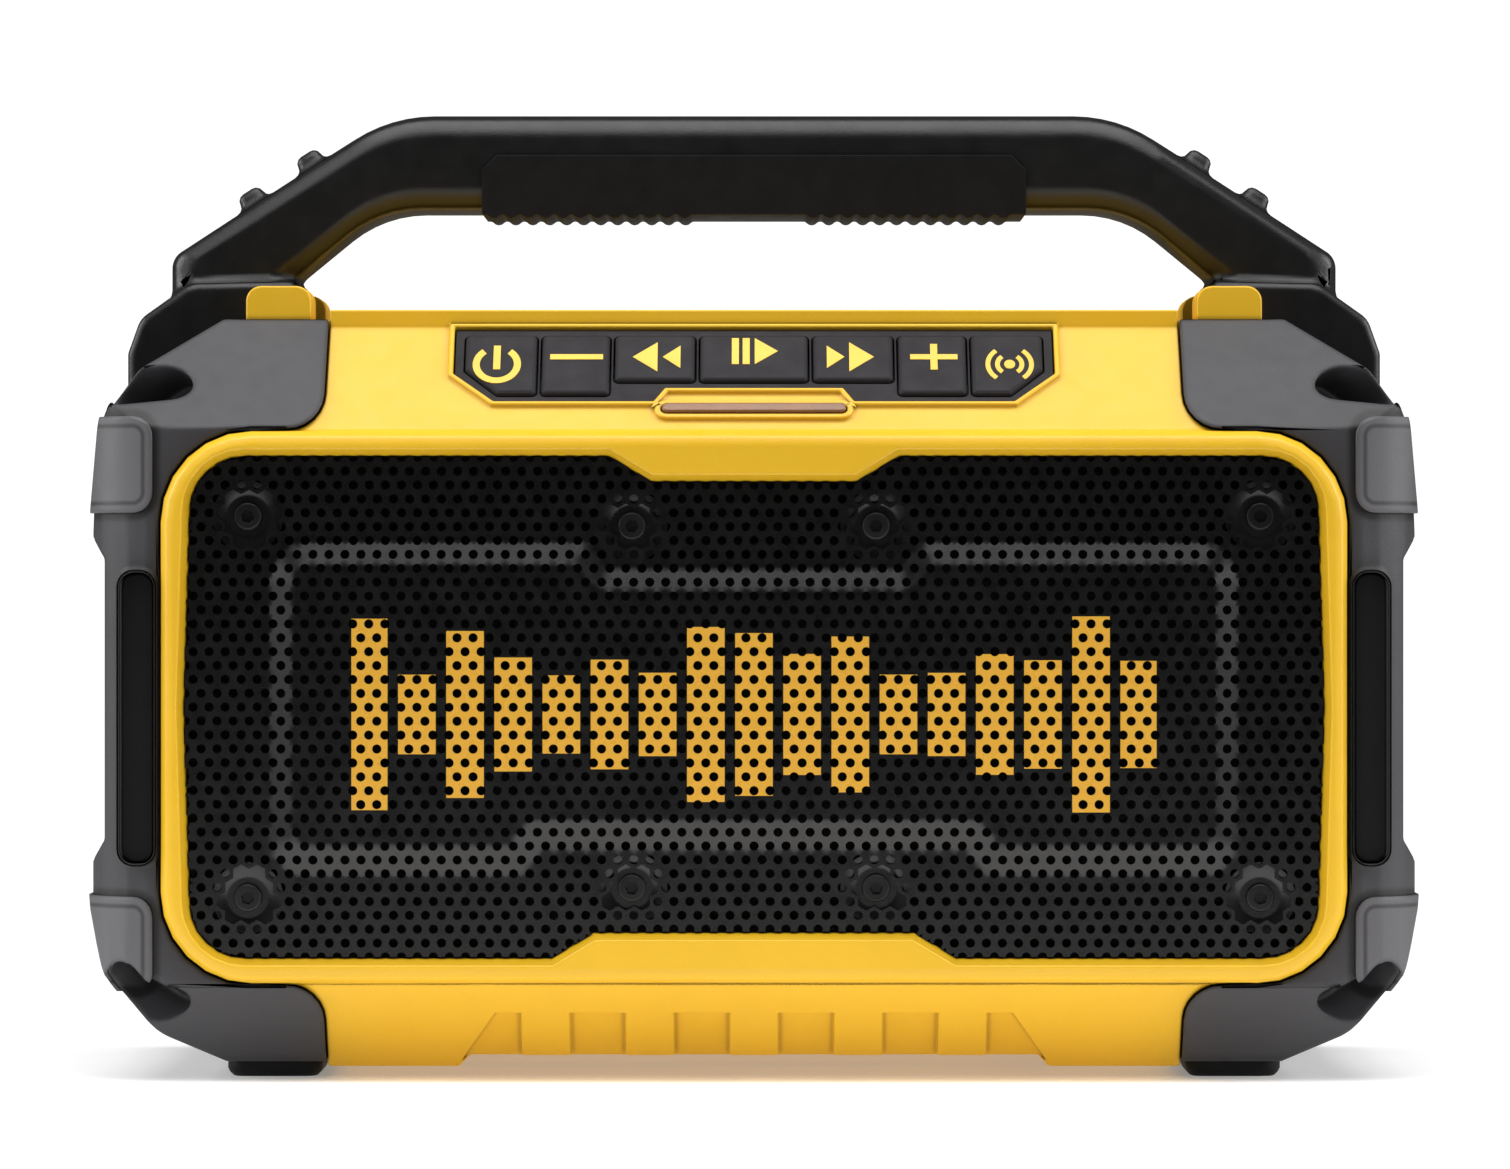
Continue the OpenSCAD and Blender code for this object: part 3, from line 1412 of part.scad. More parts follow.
blade_t = 0.8;
blade_slot = 3.2;
blade_floor = 2;
blade_xs = [-8, -2.7, 2.7, 8];
module terminal_block() {
    color(black) difference() {
        translate([-block_half, dock_face_y, block_low_z]) cube([2 * block_half, block_t, block_h]);
        for (x = blade_xs)
            translate([x - blade_slot / 2, dock_face_y + blade_floor, block_low_z + 2 * blade_floor])
                cube([blade_slot, block_t, block_h]);
    }
}

module terminal_blades() {
    color("#c9a24a") for (x = blade_xs)
        translate([x - blade_t / 2, dock_face_y + blade_floor, block_low_z + 2 * blade_floor])
            cube([blade_t, block_t - blade_floor - 1, block_h - 2 * blade_floor - 1]);
}

port_board_edge = 11;
module port_board() {
    color(board_green) translate([line_x - port_board_edge, port_board_y, port_z - 2])
        cube([inlet_x - line_x + 2 * port_board_edge, board_t, port_h + 4]);
}

jack_wall = 1;
module jack(x, body_r, bore_r) {
    translate([x, port_board_y + board_t, jack_z]) rotate([-90, 0, 0]) difference() {
        cylinder(h = jack_l - board_t, r = body_r);
        translate([0, 0, jack_wall]) cylinder(h = jack_l, r = bore_r);
    }
}

module line_jack() { color(black) jack(line_x, line_body_r, line_r); }

pin_r = 1;
module power_jack() {
    color(black) {
        jack(inlet_x, inlet_body_r, inlet_r);
        translate([inlet_x, port_board_y + board_t, jack_z]) rotate([-90, 0, 0])
            cylinder(h = jack_l - board_t - 1, r = pin_r);
    }
}

cover_gap = 0.3;
cover_t = port_depth - 0.8;
hinge_r = 1.2;
pull_w = 8;
hinge_z = port_z + hinge_r + cover_gap;
module port_cover() {
    color(rubber) {
        along_y(-front_y - cover_t, -front_y)
            polygon(rectangle(port_x + cover_gap, port_x + port_w - cover_gap, hinge_z - hinge_r,
                port_z + port_h - cover_gap, 1.2));
        translate([port_x + cover_gap + 1, -front_y, hinge_z]) rotate([0, 90, 0])
            cylinder(h = port_w - 2 * cover_gap - 2, r = hinge_r);
        translate([port_x + (port_w - pull_w) / 2, -front_y - eps, port_z + port_h - 3])
            cube([pull_w, 1, 1.6]);
    }
}

front_housing();
rear_housing();
housing_seal();
housing_screws();
left_end_cap();
right_end_cap();
left_corner_pads();
right_corner_pads();
left_side_strips();
right_side_strips();
end_cap_screws();
feet();
handle();
handle_sleeve();
handle_screws();
grille();
grille_screws();
acoustic_cloth();
baffle();
left_basket();
left_magnet();
left_cone();
left_suspension();
right_basket();
right_magnet();
right_cone();
right_suspension();
driver_screws();
keypad_bezel();
power_key();
volume_down_key();
back_key();
play_key();
forward_key();
volume_up_key();
pairing_key();
key_board();
key_board_screws();
status_lens();
main_board();
main_board_screws();
battery_dock();
dock_screws();
terminal_block();
terminal_blades();
port_board();
line_jack();
power_jack();
port_cover();
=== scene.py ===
# %% [markdown]
# # A jobsite speaker, finished piece by piece
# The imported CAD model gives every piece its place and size. This lesson loads it, gives each moulded
# shell soft edges and a plastic or rubber surface, and makes anew what CAD holds only roughly: the fine
# perforated grille, its screws, the cloth behind it and the signs on the keys.

# %% Load the frame
import json
import math

import bpy
import numpy as np
from mathutils import Matrix, Vector


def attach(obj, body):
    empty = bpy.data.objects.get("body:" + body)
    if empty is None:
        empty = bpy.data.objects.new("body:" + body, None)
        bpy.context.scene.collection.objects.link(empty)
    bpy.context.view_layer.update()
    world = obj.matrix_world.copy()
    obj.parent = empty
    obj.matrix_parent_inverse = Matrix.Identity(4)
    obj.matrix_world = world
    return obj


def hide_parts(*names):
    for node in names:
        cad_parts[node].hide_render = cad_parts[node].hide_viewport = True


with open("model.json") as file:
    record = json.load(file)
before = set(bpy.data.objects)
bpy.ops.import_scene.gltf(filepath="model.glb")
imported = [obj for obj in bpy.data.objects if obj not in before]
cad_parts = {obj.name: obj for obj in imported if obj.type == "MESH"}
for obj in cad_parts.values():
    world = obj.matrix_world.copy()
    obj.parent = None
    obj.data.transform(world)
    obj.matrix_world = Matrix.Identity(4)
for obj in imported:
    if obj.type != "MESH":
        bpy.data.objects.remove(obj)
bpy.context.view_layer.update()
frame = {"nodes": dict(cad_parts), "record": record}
MM = 0.001
body_of_node = {
    node: body for body, nodes in frame["record"]["behaviour"]["bodies"].items() for node in nodes
}
slot_of_node = {entry["node"]: entry["material_slot"] for entry in frame["record"]["subparts"]}

# %% [markdown]
# ## Small helpers
# Blender's operators work on what is selected, so each step first selects one piece and nothing else.
# Everything could also be done on the mesh data, but operators do the same as the tools that a person
# uses by hand.


# %% Helpers for selecting and editing
def only(piece):
    """Makes one piece the only selected and the active one."""
    bpy.ops.object.select_all(action="DESELECT")
    piece.select_set(True)
    bpy.context.view_layer.objects.active = piece


def edit(piece, select="SELECT"):
    """Enters edit mode with all of the piece selected, or none of it."""
    only(piece)
    bpy.ops.object.mode_set(mode="EDIT")
    bpy.ops.mesh.select_all(action=select)


def done():
    """Leaves edit mode."""
    bpy.ops.object.mode_set(mode="OBJECT")


def settle(piece):
    """Moves the piece's place, turn and scale into its mesh."""
    only(piece)
    bpy.ops.object.transform_apply(location=True, rotation=True, scale=True)


def apply_all(piece):
    """Applies the piece's modifiers."""
    only(piece)
    for modifier in list(piece.modifiers):
        bpy.ops.object.modifier_apply(modifier=modifier.name)


# %% Helpers for finishing a piece
def bevel(piece, width, segments, angle):
    """Rounds the edges that turn by more than angle degrees, by width in millimetres."""
    modifier = piece.modifiers.new("soft edges", "BEVEL")
    modifier.width = width * MM
    modifier.segments = segments
    modifier.limit_method = "ANGLE"
    modifier.angle_limit = math.radians(angle)
    modifier.use_clamp_overlap = False
    modifier.loop_slide = False
    apply_all(piece)


def smooth(piece, angle):
    """Smooth shading over soft edges, with large faces kept flat."""
    only(piece)
    bpy.ops.object.shade_smooth_by_angle(angle=math.radians(angle))
    modifier = piece.modifiers.new("flat faces", "WEIGHTED_NORMAL")
    modifier.keep_sharp = True
    apply_all(piece)


def join(pieces, name):
    """Joins pieces into one, with its place in its mesh."""
    bpy.ops.object.select_all(action="DESELECT")
    for piece in pieces:
        piece.select_set(True)
    bpy.context.view_layer.objects.active = pieces[0]
    if len(pieces) > 1:
        bpy.ops.object.join()
    whole = bpy.context.view_layer.objects.active
    whole.name = name
    settle(whole)
    return whole


# %% [markdown]
# ## Surfaces
# Moulded plastic is never one flat colour: the tool leaves a fine grain, the colour drifts slightly over
# a large part, and the gloss is uneven. An image could hold all that, but noise needs no file and no
# unwrapping. Each material mixes two close tints with a slow noise, varies the roughness with another and
# takes a fine bump from a third. All three read Object coordinates, so they stay on the piece.


# %% Noise and its range
def noise(nodes, coords, links, scale, detail=3.0):
    """A noise on Object coordinates."""
    texture = nodes.new("ShaderNodeTexNoise")
    texture.inputs["Scale"].default_value = scale
    texture.inputs["Detail"].default_value = detail
    links.new(coords.outputs["Object"], texture.inputs["Vector"])
    return texture


def ranged(nodes, links, source, low, high):
    """Maps a noise's middle part onto low to high."""
    node = nodes.new("ShaderNodeMapRange")
    node.inputs["From Min"].default_value = 0.3
    node.inputs["From Max"].default_value = 0.7
    node.inputs["To Min"].default_value = low
    node.inputs["To Max"].default_value = high
    links.new(source, node.inputs["Value"])
    return node.outputs["Result"]


# %% [markdown]
# Mouldings gather shadow in their corners and catch light on their edges. An ambient occlusion node
# darkens the base colour in the corners, which is painted shade, and a bevel node shades an edge as if it
# were round, which is cheaper than a wider real round.

# %% Material maker
GLOSS_SCALE, GRAIN_DETAIL, EDGE_SAMPLES = 6, 2.0, 6


def surface(name, dark, light, rough, grain, depth, metallic=0.0, drift=40, sheen=0.5, painted_corner_shade=0, soften=0):
    """A surface between two tints, with rough = (lowest, highest) and a grain of that scale and depth.
    Where the corner shade is set, corners that little light reaches within that many mm get painted shade.
    Where soften is set, edges are shaded as if they were rounded by that many millimetres."""
    material = bpy.data.materials.new(name)
    material.use_nodes = True
    nodes, links = material.node_tree.nodes, material.node_tree.links
    shader = nodes["Principled BSDF"]
    coords = nodes.new("ShaderNodeTexCoord")
    tint = nodes.new("ShaderNodeMix")
    tint.data_type = "RGBA"
    tint.inputs["A"].default_value = (*dark, 1)
    tint.inputs["B"].default_value = (*light, 1)
    slow = noise(nodes, coords, links, drift)
    links.new(ranged(nodes, links, slow.outputs["Fac"], 0, 1), tint.inputs["Factor"])
    links.new(tint.outputs["Result"], shader.inputs["Base Color"])
    # Painted shade: the ambient occlusion darkens the base colour where little light reaches the corners.
    if painted_corner_shade:
        painted_shade_node = nodes.new("ShaderNodeAmbientOcclusion")
        painted_shade_node.inputs["Distance"].default_value = painted_corner_shade * MM
        links.new(tint.outputs["Result"], painted_shade_node.inputs["Color"])
        links.new(painted_shade_node.outputs["Color"], shader.inputs["Base Color"])
    gloss = noise(nodes, coords, links, drift * GLOSS_SCALE)
    links.new(ranged(nodes, links, gloss.outputs["Fac"], *rough), shader.inputs["Roughness"])
    bump = nodes.new("ShaderNodeBump")
    bump.inputs["Strength"].default_value = 1.0
    bump.inputs["Distance"].default_value = depth * MM
    links.new(noise(nodes, coords, links, grain, GRAIN_DETAIL).outputs["Fac"], bump.inputs["Height"])
    links.new(bump.outputs["Normal"], shader.inputs["Normal"])
    if soften:
        rounding = nodes.new("ShaderNodeBevel")
        rounding.samples = EDGE_SAMPLES
        rounding.inputs["Radius"].default_value = soften * MM
        links.new(rounding.outputs["Normal"], bump.inputs["Normal"])
    shader.inputs["Metallic"].default_value = metallic
    shader.inputs["Specular IOR Level"].default_value = sheen
    return material


# %% [markdown]
# Tints are linear values. The yellow is a warm machine yellow, the end caps a soft grey with a hint of
# violet, and the handle and grille are black with different gloss: the handle is moulded, the grille
# powder coated. The slots' names come from the record, so each CAD node finds its own surface.

# %% Plastic, rubber and the front
# The yellow shell, grey bumpers and corner pads have painted shade in their corners, from surface().
finish = {
    "housing_yellow": surface(
        "yellow_shell", (0.8, 0.465, 0.0138), (0.835, 0.493, 0.0158), (0.36, 0.48), 2600, 0.02, painted_corner_shade=1.2
    ),
    "cap_grey": surface(
        "grey_bumper", (0.034, 0.0326, 0.0367), (0.04, 0.0384, 0.0428), (0.5, 0.56), 1900, 0.04,
        painted_corner_shade=5, soften=1.5,
    ),
    "pad_grey": surface(
        "grey_corner_pad", (0.09, 0.0868, 0.0932), (0.102, 0.0982, 0.105), (0.45, 0.51), 1700, 0.04,
        painted_corner_shade=3, soften=1.2,
    ),
    "black_plastic": surface(
        "black_moulding", (0.0048, 0.0048, 0.0051), (0.0075, 0.0075, 0.008), (0.32, 0.4), 2200, 0.03,
        sheen=0.45, soften=1.2,
    ),
    "black_rubber": surface(
        "black_rubber", (0.0035, 0.0034, 0.0037), (0.006, 0.0058, 0.0063), (0.5, 0.62), 1500, 0.04,
        sheen=0.22,
    ),
    "grille_black": surface(
        "grille_powder_coat", (0.0009, 0.0009, 0.001), (0.0018, 0.0018, 0.002), (0.24, 0.32), 3200, 0.01,
        sheen=0.6,
    ),
    "key_grey": surface(
        "grey_keypad", (0.0165, 0.0145, 0.0168), (0.021, 0.0185, 0.0214), (0.58, 0.7), 2300, 0.03,
        sheen=0.25,
    ),
    "lens_smoke": surface(
        "status_lens", (0.2, 0.088, 0.036), (0.26, 0.115, 0.048), (0.2, 0.3), 800, 0.01, drift=90
    ),
}
print(len(finish), "surfaces so far")

# %% Metal, cloth and the inside
finish.update({
    "screw_black": surface(
        "black_screw", (0.012, 0.012, 0.013), (0.03, 0.03, 0.032), (0.3, 0.45), 3000, 0.02, metallic=0.7
    ),
    "screw_steel": surface(
        "zinc_screw", (0.42, 0.43, 0.46), (0.55, 0.56, 0.59), (0.25, 0.4), 3000, 0.02, metallic=1.0
    ),
    "cloth_black": surface(
        "acoustic_cloth", (0.002, 0.002, 0.0022), (0.005, 0.005, 0.0055), (0.85, 0.95), 1200, 0.1
    ),
    "basket_black": surface(
        "driver_basket", (0.009, 0.009, 0.009), (0.015, 0.015, 0.015), (0.4, 0.55), 1800, 0.03, metallic=0.3
    ),
    "magnet_grey": surface(
        "driver_magnet", (0.08, 0.08, 0.088), (0.12, 0.12, 0.13), (0.4, 0.6), 900, 0.05, metallic=0.6
    ),
    "cone_black": surface("driver_cone", (0.011, 0.011, 0.012), (0.019, 0.019, 0.02), (0.6, 0.8), 700, 0.1),
    "board_green": surface(
        "circuit_board", (0.01, 0.082, 0.035), (0.018, 0.12, 0.055), (0.3, 0.45), 500, 0.03
    ),
    "contact_brass": surface(
        "contact_brass", (0.5, 0.3, 0.06), (0.64, 0.41, 0.09), (0.25, 0.4), 2000, 0.01, metallic=1.0
    ),
})
for node, piece in frame["nodes"].items():
    piece.data.materials.clear()
    piece.data.materials.append(finish[slot_of_node[node]])
print(len(finish), "surfaces in all")

# %% [markdown]
# ## Masks
# A print or a dark line is a second colour inside a material, laid on where a mask is 1. It could be a
# separate thin piece, but a mask follows the surface exactly. Masks are small sums on the Object
# coordinates, made with Math nodes.


# %% Mask tools
def mask_tools(material):
    """A material's place on the object as x, y and z, and a maker of Math nodes in it."""
    nodes, links = material.node_tree.nodes, material.node_tree.links
    place = nodes.new("ShaderNodeSeparateXYZ")
    links.new(nodes["Texture Coordinate"].outputs["Object"], place.inputs["Vector"])

    def math_node(operation, first, second=None):
        node = nodes.new("ShaderNodeMath")
        node.operation = operation
        for socket, value in zip(node.inputs, (first, second)):
            if isinstance(value, (int, float)):
                socket.default_value = value
            elif value is not None:
                links.new(value, socket)
        return node.outputs["Value"]

    return place.outputs, math_node


def paint(material, mask, colour):
    """Lays a colour over the material where the mask is 1."""
    nodes, links = material.node_tree.nodes, material.node_tree.links
    socket = nodes["Principled BSDF"].inputs["Base Color"]
    under = socket.links[0].from_socket
    coat = nodes.new("ShaderNodeMix")
    coat.data_type = "RGBA"
    coat.inputs["B"].default_value = (*colour, 1)
    links.new(mask, coat.inputs["Factor"])
    links.new(under, coat.inputs["A"])
    links.new(coat.outputs["Result"], socket)


# %% [markdown]
# Each corner pad has two lines of painted shade, without relief under them: one round it, as the shade
# of a shallow groove in its end cap, and one a little inside its edge, as the shade of a step. Both follow
# a rounded rectangle. How far a point lies outside it is the length of what is left past the smaller
# rectangle between the corners' centres, less the corner radius; inside the pad it is negative.

# %% Painted groove shade of the pads
PAD_X, PAD_R, PAD_H, PAD_FROM_Y = 118.2, 4, 19, 29
PAD_LOW_ENDS = (17.5, 112)
PAINTED_GROOVE_SHADE = (0.006, 0.006, 0.0065)


def paint_pad_groove_shade(material, offset, half, fade, strength):
    """Lays painted shade in a line round the pads: its offset outwards, half width and fade are in
    millimetres.
    """
    place, math_node = mask_tools(material)
    inward = math_node("SUBTRACT", (PAD_X + PAD_R) * MM, math_node("ABSOLUTE", place["X"]))
    inward = math_node("MAXIMUM", inward, 0.0)
    line = 0.0
    for low_z in PAD_LOW_ENDS:
        up = math_node("ABSOLUTE", math_node("SUBTRACT", place["Z"], (low_z + PAD_H / 2) * MM))
        along = math_node("MAXIMUM", math_node("SUBTRACT", up, (PAD_H / 2 - PAD_R) * MM), 0.0)
        squares = math_node("ADD", math_node("POWER", along, 2.0), math_node("POWER", inward, 2.0))
        away = math_node("SUBTRACT", math_node("SQRT", squares), (PAD_R + offset) * MM)
        away = math_node("ABSOLUTE", away)
        near = math_node("SUBTRACT", 1 + half / fade, math_node("DIVIDE", away, fade * MM))
        line = math_node("MAXIMUM", near, line)
    on_pad = math_node("GREATER_THAN", math_node("ABSOLUTE", place["Y"]), PAD_FROM_Y * MM)
    most = math_node("MULTIPLY", on_pad, strength)
    paint(material, math_node("MULTIPLY", math_node("MINIMUM", line, 1.0), most), PAINTED_GROOVE_SHADE)


# Painted shade: a line round each pad on the end cap, as from a groove, and one inside each pad's edge, as
# from a step.
paint_pad_groove_shade(finish["cap_grey"], offset=0.2, half=0.7, fade=1.0, strength=0.9)
paint_pad_groove_shade(finish["pad_grey"], offset=-1.9, half=0.15, fade=0.5, strength=0.7)
print("dark lines at", len(PAD_LOW_ENDS), "heights")

# %% [markdown]
# ## Moulded shells
# A moulded part has no knife edges, because plastic doesn't fill a sharp corner and a tool is never cut
# to one. The shells could be modelled again, but their CAD nodes already have the right form. So each
# shell is a copy of its node: the loose triangles are merged, long thin ones turned into better shaped
# ones, pairs of them joined into quads, and every edge that turns by more than a set angle gets a small
# round. A round next to a thin triangle or a tiny edge shows as a dark streak, so the front housing also
# has its tiny edges welded.

# %% Copy of a node as one skin
FINE_WELD, HOUSING_WELD = 0.002, 0.09


def merged_copy(node, name, weld):
    """A copy of a CAD node as one skin, with corners nearer than weld millimetres made one."""
    piece = bpy.data.objects.new(name, frame["nodes"][node].data.copy())
    bpy.context.scene.collection.objects.link(piece)
    only(piece)
    bpy.ops.mesh.customdata_custom_splitnormals_clear()
    edit(piece)
    bpy.ops.mesh.remove_doubles(threshold=weld * MM)
    bpy.ops.mesh.beautify_fill(angle_limit=math.radians(0.5))
    bpy.ops.mesh.tris_convert_to_quads(face_threshold=math.radians(1), shape_threshold=math.pi)
    bpy.ops.mesh.normals_make_consistent(inside=False)
    done()
    return piece


# %% [markdown]
# Where a round is too wide for a thin rib, its corner shoots out of the piece. The modifier's own clamp
# would shrink all rounds to suit the shortest edge, so the width is halved instead, only until the piece
# keeps its box.

# %% Shell maker
SPILL = 0.02


def spots_of(piece):
    """The piece's points as rows of x, y and z."""
    spots = np.empty(len(piece.data.vertices) * 3)
    piece.data.vertices.foreach_get("co", spots)
    return spots.reshape(-1, 3)


def shell(node, name, width, segments, angle=30, shade=35, weld=FINE_WELD):
    """A copy of a CAD node with soft edges, which takes the node's place."""
    while True:
        piece = merged_copy(node, name, weld)
        before = np.ptp(spots_of(piece), axis=0)
        bevel(piece, width, segments, angle)
        if (np.ptp(spots_of(piece), axis=0) < before + SPILL * MM).all():
            break
        bpy.data.objects.remove(piece)
        width = width / 2
    smooth(piece, shade)
    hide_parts(node)
    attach(piece, body_of_node[node])
    print(name, len(piece.data.polygons), "faces, edges rounded by", width)


# %% Shells with their rounds
shells = {
    "front_housing": (0.4, 3), "rear_housing": (0.6, 2),
    "left_end_cap": (1.0, 3), "right_end_cap": (1.0, 3),
    "left_corner_pads": (0.7, 3), "right_corner_pads": (0.7, 3),
    "left_side_strips": (0.4, 2), "right_side_strips": (0.4, 2),
    "feet": (0.3, 2), "handle": (1.6, 3), "handle_sleeve": (0.25, 2),
    "keypad_bezel": (0.15, 2), "status_lens": (0.4, 3), "port_cover": (0.3, 2),
    "battery_dock": (0.3, 2), "terminal_block": (0.2, 2),
}
for node, (width, segments) in shells.items():
    weld = HOUSING_WELD if node == "front_housing" else FINE_WELD
    shell(node, node + "_shell", width, segments, weld=weld)

# %% [markdown]
# The keys are soft caps that stand just above their bezel. Their upper edge already slopes in the CAD
# model, so a smaller angle picks out its gentle turns, for the round as well as for the shading.

# %% Key caps
KEY_ROUND, KEY_ANGLE = 0.2, 20
keys = [
    "power_key", "volume_down_key", "back_key", "play_key", "forward_key", "volume_up_key", "pairing_key",
]
for node in keys:
    shell(node, node + "_cap", KEY_ROUND, segments=2, angle=KEY_ANGLE, shade=KEY_ANGLE)

# %% [markdown]
# ## Outlines for sheet work
# The grille and the cloth share the outline of the front opening. The CAD grille's border could be
# traced, but the outline needs only a few corners: it is drawn for the right half, each corner rounded by
# an arc, and mirrored.


# %% Rounded outline
def rounded(corners, steps=6):
    """Closed outline in millimetres from corners (x, z, radius)."""
    points = []
    for i, (x, z, r) in enumerate(corners):
        here = Vector((x, z))
        if r == 0:
            points.append(here)
            continue
        before = (Vector(corners[i - 1][:2]) - here).normalized()
        after = (Vector(corners[(i + 1) % len(corners)][:2]) - here).normalized()
        half = before.angle(after) / 2
        centre = here + (before + after).normalized() * r / math.sin(half)
        start = here + before * r / math.tan(half) - centre
        side = -1 if before.x * after.y - before.y * after.x > 0 else 1
        for k in range(steps + 1):
            turn = Matrix.Rotation(side * (math.pi - 2 * half) * k / steps, 2)
            points.append(centre + turn @ start)
    return points


def both_halves(right):
    """The outline of a right half and its mirror image."""
    return rounded(right + [(-x, z, r) for x, z, r in reversed(right)])


# %% Opening and raised middle
EDGE_X, LOW_Z, HIGH_Z, MID_Z, BOW = 111.8, 24.7, 122.9, 73.8, 1.4
OPENING_R, JOG = 10.7, 5
LOW_TAB, HIGH_TAB, TAB_RUN = 31.6, 20.2, 8.3
opening = both_halves([
    (LOW_TAB, LOW_Z + JOG, 0), (LOW_TAB + TAB_RUN, LOW_Z, 0),
    (EDGE_X - BOW, LOW_Z, OPENING_R), (EDGE_X, MID_Z, 0), (EDGE_X - BOW, HIGH_Z, OPENING_R),
    (HIGH_TAB + TAB_RUN, HIGH_Z, 0), (HIGH_TAB, HIGH_Z - JOG, 0),
])
CROWN_X, CROWN_LOW, CROWN_HIGH, CROWN_R = 95.7, 40.8, 106.8, 8
LOW_JOG, HIGH_JOG, JOG_RUN = 41.8, 28.6, 4
crown = both_halves([
    (LOW_JOG, CROWN_LOW + JOG, 0), (LOW_JOG + JOG_RUN, CROWN_LOW, 0),
    (CROWN_X, CROWN_LOW, CROWN_R), (CROWN_X, CROWN_HIGH, CROWN_R),
    (HIGH_JOG + JOG_RUN, CROWN_HIGH, 0), (HIGH_JOG, CROWN_HIGH - JOG, 0),
])
print(len(opening), "points round the opening,", len(crown), "round the raised middle")

# %% [markdown]
# Points of a large sheet are tested all at once with numpy, which is much faster than one by one. A point
# is inside an outline if a line to the right crosses it an odd number of times, and its depth inside is
# the distance to the nearest edge.


# %% Inside and depth
def edges_of(outline):
    """The outline's edges as pairs of points."""
    return zip(outline, outline[1:] + outline[:1])


def inside(points, outline):
    """True for each point that lies inside the outline."""
    hits = np.zeros(len(points), int)
    for a, b in edges_of(outline):
        crosses = (a.y > points[:, 1]) != (b.y > points[:, 1])
        level = (points[:, 1] - a.y) / (b.y - a.y if b.y != a.y else 1e-9)
        hits += crosses & (points[:, 0] < a.x + (b.x - a.x) * level)
    return hits % 2 == 1


def depth_inside(points, outline):
    """How far each point lies inside the outline, 0 outside it."""
    nearest = np.full(len(points), 1e9)
    for a, b in edges_of(outline):
        along = np.array(b - a)
        t = np.clip(((points - np.array(a)) @ along) / (along @ along), 0, 1)
        nearest = np.minimum(nearest, np.linalg.norm(points - np.array(a) - t[:, None] * along, axis=1))
    return np.where(inside(points, outline), nearest, 0)


# %% [markdown]
# A flat sheet is cut to an outline with the bisect tool, one edge at a time and only on the faces near
# that edge, and what lies outside is deleted. A boolean could do the same but is slow and unsure on an
# open sheet full of holes.

# %% Cut a sheet
CUT_MARGIN = 4


def face_centres(piece):
    """The middles of the piece's faces as rows of x and z in millimetres."""
    centres = np.empty(len(piece.data.polygons) * 3)
    piece.data.polygons.foreach_get("center", centres)
    return centres.reshape(-1, 3)[:, [0, 2]] / MM


def edit_faces(piece, chosen):
    """Enters edit mode with the chosen faces selected."""
    edit(piece, "DESELECT")
    bpy.ops.mesh.select_mode(type="FACE")
    done()
    piece.data.polygons.foreach_set("select", chosen)
    bpy.ops.object.mode_set(mode="EDIT")


def remove_faces(piece, chosen):
    """Deletes the chosen faces."""
    edit_faces(piece, chosen)
    bpy.ops.mesh.delete(type="FACE")
    done()


def trim(piece, outline):
    """Cuts a flat sheet along an outline and removes what lies outside it."""
    for a, b in edges_of(outline):
        middle, along = (a + b) / 2, b - a
        reach = along.length / 2 + CUT_MARGIN
        near = np.linalg.norm(face_centres(piece) - np.array(middle), axis=1) < reach
        if not near.any():
            continue
        edit_faces(piece, near)
        bpy.ops.mesh.bisect(plane_co=(middle.x * MM, 0, middle.y * MM), plane_no=(along.y, 0, -along.x))
        done()
    remove_faces(piece, ~inside(face_centres(piece), outline))


# %% [markdown]
# ## Perforated grille
# A grille like this is punched flat in a staggered pattern, pressed to shape and powder coated. Holes
# could be a picture on a plain sheet, but real ones show their walls and the cloth behind. The pattern
# starts as one cell, a hexagon round a hole, because hexagons fill a sheet without gaps.

# %% One cell of the pattern
PITCH, HOLE = 3.15, 1.86
ROW = PITCH * math.sqrt(3) / 2
SHEET_Y = -58.6
UPRIGHT = (math.pi / 2, 0, 0)
columns = math.ceil(EDGE_X / PITCH)
rows = math.ceil((HIGH_Z - LOW_Z) / 2 / ROW / 2) * 2
first = Vector((-columns * PITCH, SHEET_Y, MID_Z - rows * ROW)) * MM
bpy.ops.mesh.primitive_circle_add(
    vertices=6, radius=PITCH / math.sqrt(3) * MM, location=first, rotation=UPRIGHT
)
sheet = bpy.context.object
sheet.name = "grille_sheet"
settle(sheet)
edit(sheet)
bpy.ops.mesh.subdivide(number_cuts=1)
bpy.ops.mesh.primitive_circle_add(vertices=12, radius=HOLE / 2 * MM, location=first, rotation=UPRIGHT)
bpy.ops.mesh.select_all(action="SELECT")
bpy.ops.mesh.bridge_edge_loops()
done()
print("one cell has", len(sheet.data.polygons), "faces")

# %% [markdown]
# The second row of the pattern is the first one moved by half a pitch, so the cell is doubled first and
# the pair repeated with two array modifiers. Their merge option welds neighbouring cells into one sheet,
# which is then cut to the opening.


# %% Repeat the cell
def repeated(piece, count, step):
    """Repeats the piece count times, each copy moved by step and welded to its neighbour."""
    modifier = piece.modifiers.new("repeat", "ARRAY")
    modifier.count = count
    modifier.use_relative_offset = False
    modifier.use_constant_offset = True
    modifier.constant_offset_displace = Vector(step) * MM
    modifier.use_merge_vertices = True
    modifier.merge_threshold = 0.01 * MM
    apply_all(piece)


repeated(sheet, 2, (PITCH / 2, 0, ROW))
repeated(sheet, 2 * columns + 1, (PITCH, 0, 0))
repeated(sheet, rows + 1, (0, 0, 2 * ROW))
trim(sheet, opening)
print("grille sheet has", len(sheet.data.polygons), "faces")

# %% [markdown]
# Round each screw the sheet is pressed inwards and not perforated. The cells there are taken out whole,
# so that a scalloped edge is left, and a smooth cup takes their place below.

